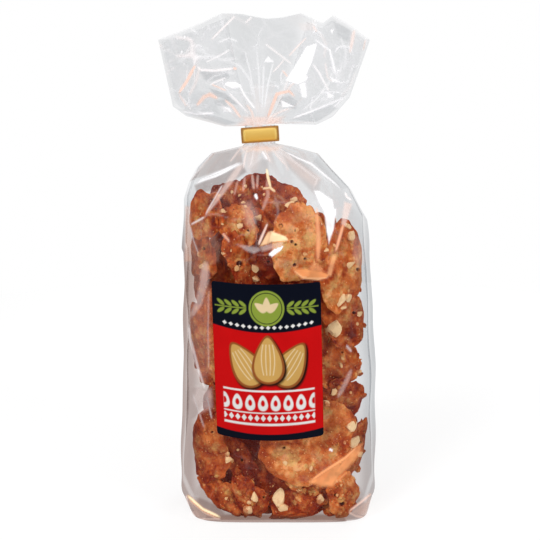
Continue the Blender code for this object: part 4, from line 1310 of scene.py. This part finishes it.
def buildChips(discs):
    # splinters of crumb: at the rims pointing outwards, elsewhere lying flat
    draw = np.random.default_rng(batter["seed"] + 9)
    surface, normals, rim, tone = surfaceOf(discs)
    px, py, depth = toPixel(surface)
    made = []

    def add(pick, outwards, size, flat, shade):
        # its long way points along the surface or, at a rim, out of it
        matrix = standing(normals[pick], draw)
        if outwards:
            matrix = matrix[:, [2, 0, 1]]
        points, _, _ = shapeNut(size, draw)
        points = (points * flat) @ matrix.T + surface[pick]
        shade = np.clip(shade + 0.10 * draw.normal(size=points.shape[:2]), 0.0, 1.0)
        made.append((tuckIn(points, 0.995), {"tone": shade, "pit": 0.0 * shade, "rim": 0.0 * shade}))

    for wantX, wantY, size in shownTips:
        away = np.hypot(px - wantX, py - wantY) + 0.02 * (depth - depth.min())
        add(np.argmin(away + 9.0 * (rim < 0.4)), True, size, (0.95, 1.15, 0.5), draw.uniform(0.3, 0.7))
    rims = np.flatnonzero((rim > 0.6) & (py > splinters["rimsBelow"]))
    for pick in draw.choice(rims, splinters["rims"]):
        add(pick, True, draw.uniform(0.9, 1.6), (0.8, 1.1, 0.6), tone[pick] + 0.1)
    for pick in draw.integers(0, len(surface), splinters["loose"]):
        add(pick, False, draw.uniform(0.9, 2.0), (1.0, 0.9, 0.5), tone[pick] + 0.12)
    left, right, top, foot = splinters["lowZone"]
    low = (normals[:, 1] < -0.5) & (py > top) & (py < foot) & (px > left) & (px < right)
    for pick in draw.choice(np.flatnonzero(low), splinters["low"]):
        add(pick, False, draw.uniform(0.8, 2.2), (1.0, 0.9, 0.4), tone[pick] + 0.16)
    return joinDiscs("biscuitChips", made)


def paintNut():
    # pale almond flesh, darker where it sinks into the crumb, stained by it and in painted shade, with a
    # painted glow
    paint = newPaint("almondFlesh")
    grain = paint.noise(1.2, 3.0)
    base = paint.mix(paint.value("pale"), (0.74, 0.38, 0.15), (0.93, 0.66, 0.37))
    base = paint.mix(((grain - 0.40) * 0.6).held(), base, (0.70, 0.34, 0.11))
    base = paint.mix((paint.value("skin") * 0.85).held(), base, (0.22, 0.06, 0.02))
    # darker where sunk: stain and painted shade
    base = paint.mix(((paint.value("sunk") + grain - 0.5) * 0.8).held(), base, (0.48, 0.11, 0.025))
    more = {"Specular IOR Level": 0.3, "Emission Strength": batter["glow"]}
    return paint.finish(paint.solid(base, 0.5, paint.bump(grain, 0.2, 0.4), more))


def buildContents():
    # the front biscuits at their pixels, the rest behind them, and what sticks to them
    front = [
        shapeBiscuit((fromPixel(*spec[0], spec[1]),) + spec[2:], batter["rows"], batter["columns"], 30 + k)
        for k, spec in enumerate(biscuits)
    ]
    back = [
        shapeBiscuit(spec, batter["backRows"], batter["backColumns"], 90 + k)
        for k, spec in enumerate(backBiscuits())
    ]
    crumb = paintBiscuit()
    pieces = [
        joinDiscs(name, [disc[:2] for disc in front[first:last]])
        for name, first, last in batter["pieces"]
    ]
    pieces.append(joinDiscs("biscuitsBack", [disc[:2] for disc in back]))
    pieces.append(buildChips(front))
    for piece in pieces:
        piece.data.materials.append(crumb)
    nuts = buildNuts(front + back)
    nuts.data.materials.append(paintNut())
    return pieces + [nuts]


# The label: fields of colour and plain shapes.
inks = {
    "red": (0.585, 0.004, 0.005), "navy": (0.0035, 0.005, 0.012), "green": (0.25, 0.33, 0.045),
    "white": (0.80, 0.78, 0.76), "gold": (0.62, 0.36, 0.10), "cream": (0.80, 0.62, 0.36),
    "brown": (0.30, 0.085, 0.02), "dark": (0.02, 0.006, 0.004),
}


def labelPrint(x, z):
    # ink at (x, z) in millimetres from the label's middle; each shape is a distance
    colour = np.zeros(x.shape + (3,)) + np.array(inks["red"])

    def lay(distance, ink, edge=0.18):
        share = fade(-edge, edge, distance)[..., None]
        colour[:] = colour * (1.0 - share) + np.array(inks[ink]) * share

    def own(cx, cz, degrees):
        # coordinates along and across a shape that is turned about its middle
        c, s = math.cos(math.radians(degrees)), math.sin(math.radians(degrees))
        return (x - cx) * c + (z - cz) * s, (z - cz) * c - (x - cx) * s

    def ellipse(cx, cz, rx, rz, degrees=0.0):
        u, v = own(cx, cz, degrees)
        return (np.hypot(u / rx, v / rz) - 1.0) * min(rx, rz)

    def kernel(cx, cz, length, width, degrees):
        # an almond outline: an ellipse drawn to a point at one end
        u, v = own(cx, cz, degrees)
        narrow = width * (1.0 - 0.45 * np.clip(u / length, -1.0, 1.0))
        return (np.hypot(u / length, v / narrow) - 1.0) * width * 0.8

    band = 17.4 - 2.2 * np.cos(x / 26.3 * math.pi / 2)
    lay(band - z, "navy")
    lay(z + 34.4 + 1.0 * (1 - (x / 26.3) ** 2), "navy")
    # badge in the band: a green disc with a sprig of three kernels
    for radius, ink, edge in ((8.6, "green", 0.18), (7.6, "navy", 0.12), (7.2, "green", 0.18)):
        lay(ellipse(0.0, 27.0, radius, radius), ink, edge)
    for turn in (35.0, 90.0, 145.0):
        cx = 3.6 * math.cos(math.radians(turn))
        cz = 25.6 + 3.4 * math.sin(math.radians(turn))
        lay(kernel(cx, cz, 3.3, 1.75, turn), "cream")
    # leaves on both sides of the badge
    for side in (-1.0, 1.0):
        for k in range(4):
            for cz, turn in ((28.9, 38.0), (25.1, -38.0)):
                lay(ellipse(side * (11.6 + 3.5 * k), cz, 2.1, 0.85, side * turn), "green")
        lay(np.maximum(np.abs(z - 27.0) - 0.28, np.abs(x - side * 17.4) - 7.6), "green")
    # a line of small white lozenges along the band's lower edge
    tile = np.abs((x + 100.0) % 3.0 - 1.5) * 0.9 + np.abs(z - (band + 2.5))
    lay(np.maximum(tile - 1.0, np.abs(x) - 22.5), "white", 0.12)
    # three large kernels on the red field
    for cx, cz, turn in ((-11.2, -0.6, 122.0), (11.2, -0.6, 58.0), (0.0, 2.0, 90.0)):
        lay(kernel(cx + 0.7, cz - 0.8, 12.4, 7.8, turn), "dark", 0.5)
        lay(kernel(cx, cz, 12.0, 7.4, turn), "brown")
        lay(kernel(cx, cz, 10.9, 6.3, turn), "gold")
        u, v = own(cx, cz, turn)
        for line in (-3.2, -1.1, 1.1, 3.2):
            vein = np.abs(v - line * (1.0 - (u / 14.0) ** 2)) - 0.24
            lay(np.maximum(vein, np.abs(u) - 7.6), "cream")
    # rows of white kernels, lozenges and lines below
    tile = (x + 100.0) % 6.25 - 3.125
    inner = np.abs(x) - 22.3
    rise = (z + 19.6) / 3.9
    tall = np.hypot(tile / (2.35 * (1.0 - 0.28 * np.clip(rise, -1, 1))), rise)
    lay(np.maximum((tall - 1.0) * 2.0, inner), "white")
    lay(np.maximum((tall - 0.42) * 2.0, inner), "red")
    tile = np.abs((x + 101.6) % 3.125 - 1.5625) / 1.25 + np.abs(z + 27.2) / 1.7
    lay(np.maximum((tile - 1.0) * 1.2, inner), "white", 0.12)
    for line, half in ((-13.6, 0.45), (-24.6, 0.3), (-30.4, 0.6)):
        lay(np.maximum(np.abs(z - line) - half, inner), "white")
    return colour


def buildLabel():
    # a grid with rounded corners, leaning and sagging, laid on the plain front of the bag
    columns, rows, radius = labelForm["columns"], labelForm["rows"], labelForm["corner"]
    width, height = labelForm["size"]
    across, along = np.meshgrid(np.linspace(-0.5, 0.5, columns) * width,
                                np.linspace(-0.5, 0.5, rows) * height)
    dx = np.abs(across) - (width / 2 - radius)
    dz = np.abs(along) - (height / 2 - radius)
    reach = np.where((dx > 0) & (dz > 0), np.hypot(dx, dz), 0.0)
    scale = np.where(reach > radius, radius / np.maximum(reach, 1e-9), 1.0)
    across = np.where(scale < 1.0, np.sign(across) * (np.abs(across) - dx * (1 - scale)), across)
    along = np.where(scale < 1.0, np.sign(along) * (np.abs(along) - dz * (1 - scale)), along)
    x = labelForm["middle"][0] + across - labelForm["lean"] * along / height
    high, low = labelForm["sag"]
    sag = low + (high - low) * (0.5 + along / height)
    z = labelForm["middle"][1] + along - sag * (1.0 - (2.0 * across / width) ** 2)
    points = vec(x, frontAt(x, z), z)
    wave = labelForm["wave"] * roughNoise(points, 16.0, 4, 2)
    lift = labelForm["gap"] + labelForm["proud"] + wave
    points = points + gridNormals(points, False) * lift[..., None]
    ink = labelPrint(across, along).reshape(-1, 3)
    values = {"ink": np.append(ink, np.ones((len(ink), 1)), 1)}
    faces = [gridFaces(rows, columns, False)]
    piece = makePiece("labelPaper", points.reshape(-1, 3), faces, values)
    thick = piece.modifiers.new("thickness", "SOLIDIFY")
    thick.thickness = labelForm["thickness"] * metre
    thick.offset = 1.0
    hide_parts("label")
    piece.data.materials.append(paintLabel())
    print("label:", rows * columns, "points")


def paintLabel():
    # satin paper with a slight cloud in its ink
    paint = newPaint("labelPrint")
    fibre, cloud = paint.noise(0.5, 3.0), paint.noise(14.0, 2.0)
    base = paint.mix((cloud * 0.25).held(), paint.value("ink", "Color"), (0.0, 0.0, 0.0))
    bump = paint.bump(fibre * 0.3 + cloud, 0.08, 0.5)
    rough = (0.34 + fibre * 0.12).held()
    return paint.finish(paint.solid(base, rough, bump, {"Specular IOR Level": 0.06}))


clip = {
    "centre": 196.7, "size": (19.2, 9.4, 7.6), "wall": 0.8, "rise": 0.85, "panel": (18.3, 6.7),
    "columns": 260, "rows": 48, "squareness": 7.0, "rounding": 0.35, "groove": 0.16, "frontFrom": -0.9,
}


def buildClip():
    # a band: a rounded wall section carried round the neck, pillowed at its front
    columns, rows, wall = clip["columns"], clip["rows"], clip["wall"]
    halfX, halfY, halfZ = [s / 2 for s in clip["size"]]
    angle = evenAngles(halfX, halfY, clip["squareness"], columns)
    p, q = sectionPoint(angle, clip["squareness"])
    turn = (np.arange(rows) / rows * fullTurn)[:, None]
    # section of the wall: in from the outer face by 0 to wall, rounded
    inward = wall / 2 * (1.0 - signed(np.cos(turn), clip["rounding"]))
    x, y = (halfX - inward) * p, (halfY - inward) * q
    z = halfZ * signed(np.sin(turn), clip["rounding"]) + 0.0 * p
    u, v = (np.clip(2.0 * w / size, -1.0, 1.0) for w, size in zip((x, z), clip["panel"]))
    pillow = (1.0 - u**4) * (1.0 - v**4)
    groove = bell(np.maximum(np.abs(u), np.abs(v)) - 0.97, 0.05) * clip["groove"]
    front = q < clip["frontFrom"]
    y = y - (clip["rise"] * pillow - groove) * (inward < wall * 0.5) * front
    tilt = math.radians(neck["tilt"])
    points = vec(x * math.cos(tilt) - z * math.sin(tilt), y, z * math.cos(tilt) + x * math.sin(tilt))
    points = points + np.array([neck["middle"], 0.0, clip["centre"]])
    edge = 1.0 - smooth(0.05, 0.45, pillow) * front
    # a painted highlight: lighter towards its top and in a strip at each end
    shine = 0.42 + 0.42 * v + 0.50 * bell(np.abs(u) - 0.88, 0.07)
    faces = [gridFaces(rows + 1, columns, True) % (rows * columns)]
    values = {"edge": edge.ravel(), "shine": shine.ravel()}
    piece = makePiece("goldClip", points.reshape(-1, 3), faces, values)
    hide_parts("clip")
    piece.data.materials.append(paintGold())
    print("clip:", rows * columns, "points")


def paintGold():
    # brushed gold, brown along its edges, with a painted highlight and a painted glow
    paint = newPaint("goldFoil")
    grain = paint.noise(0.8, 3.0)
    base = paint.mix(paint.value("shine").held(), (0.72, 0.37, 0.03), (1.0, 0.70, 0.20))
    base = paint.mix(paint.value("edge"), base, (0.40, 0.16, 0.02))
    base = paint.mix((grain * 0.15).held(), base, (1.0, 0.76, 0.36))
    rough = (0.28 + grain * 0.18).held()
    more = {"Metallic": 0.35, "Emission Strength": 0.10}
    return paint.finish(paint.solid(base, rough, paint.bump(grain, 0.1, 0.3), more))


studio = {
    "floor": 0.62, "floorSides": 96, "floorGrey": (0.30, 0.30, 0.30), "floorGlow": (0.23, 0.53),
    "horizon": 0.05, "ceiling": 0.62, "behind": 0.80, "ambient": 0.40, "aim": (0.0, 0.0, 0.12),
    "lamps": (
        ("keyLight", (-0.55, -0.75, 0.75), (0.34, 0.50), 6.2),
        ("fillLight", (0.75, -0.60, 0.30), (0.20, 0.60), 4.4),
        ("lowLight", (-0.80, -0.60, 0.12), (0.30, 0.20), 0.9),
        ("backLight", (0.35, 0.95, 0.60), (0.50, 0.50), 4.0),
    ),
}


def buildFloor():
    # a pale round floor: white to the eye, dimmer in reflections
    sides = studio["floorSides"]
    ring = np.arange(sides) / sides * fullTurn
    floor = bpy.data.meshes.new("floor")
    corners = vec(np.cos(ring), np.sin(ring), 0.0) * studio["floor"]
    floor.from_pydata(corners.tolist(), [], [list(range(sides))])
    piece = newObject("floor", floor)
    paint = newPaint("paleFloor")
    seen = paint.add("ShaderNodeLightPath", {}, {}, "Is Camera Ray")
    low, more = studio["floorGlow"]
    floor.materials.append(paint.finish(paint.add("ShaderNodeBsdfPrincipled", {}, {
        "Base Color": studio["floorGrey"], "Roughness": 0.9, "Specular IOR Level": 0.0,
        "Emission Color": (1.0, 1.0, 1.0), "Emission Strength": seen * more + low,
    })))


def buildSky():
    # white to the eye, and a studio that is dark at eye level in reflections
    world = bpy.data.worlds.new("studio")
    bpy.context.scene.world = world
    sky = Paint(world)
    seen = sky.add("ShaderNodeLightPath", {}, {}, "Is Camera Ray")
    soft = sky.add("ShaderNodeLightPath", {}, {}, "Is Diffuse Ray")
    way = sky.add("ShaderNodeTexCoord", {}, {}, "Generated")
    behind, up = (sky.add("ShaderNodeSeparateXYZ", {}, {0: way}, k) for k in (1, 2))
    glow = up.step(0.15, 0.75) * (studio["ceiling"] - studio["horizon"]) + studio["horizon"]
    glow = glow.math("MAXIMUM", behind.step(0.2, 0.9) * studio["behind"])
    glow = glow * (1.0 - soft) + soft * studio["ambient"]
    strength = seen + (1.0 - seen) * glow
    back = sky.add("ShaderNodeBackground", {}, {"Color": (1.0, 1.0, 1.0), "Strength": strength})
    sky.add("ShaderNodeOutputWorld", {}, {"Surface": back})


def buildLamps():
    for name, place, size, power in studio["lamps"]:
        lamp = bpy.data.lights.new(name, "AREA")
        lamp.shape = "RECTANGLE"
        lamp.size, lamp.size_y = size
        lamp.energy = power
        holder = newObject(name, lamp)
        holder.location = place
        holder.visible_glossy = False
        way = Vector(studio["aim"]) - Vector(place)
        holder.rotation_euler = way.to_track_quat("-Z", "Y").to_euler()


def buildCamera():
    lens = bpy.data.cameras.new("camera")
    lens.sensor_width = 36.0
    lens.lens = viewPoint["focal"] / viewPoint["frame"] * lens.sensor_width
    lens.clip_start, lens.clip_end = 0.01, 100.0
    holder = newObject("camera", lens)
    place = np.array([0.0, -viewPoint["distance"], viewPoint["height"]]) + shift
    holder.location = place * metre
    holder.rotation_euler = (math.radians(90.0 - viewPoint["pitch"]), 0.0, 0.0)
    bpy.context.scene.camera = holder


scene = bpy.context.scene
scene.view_settings.view_transform = "Standard"
scene.cycles.transparent_max_bounces = 24

buildCamera()
buildFloor()
buildSky()
buildLamps()
filmPaint = paintFilm()
filmPieces = [buildFilmBody(), buildMouth()]
for piece in filmPieces:
    piece.data.materials.append(filmPaint)
contents = buildContents()
for piece in filmPieces + contents:
    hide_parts("bag")
buildLabel()
buildClip()
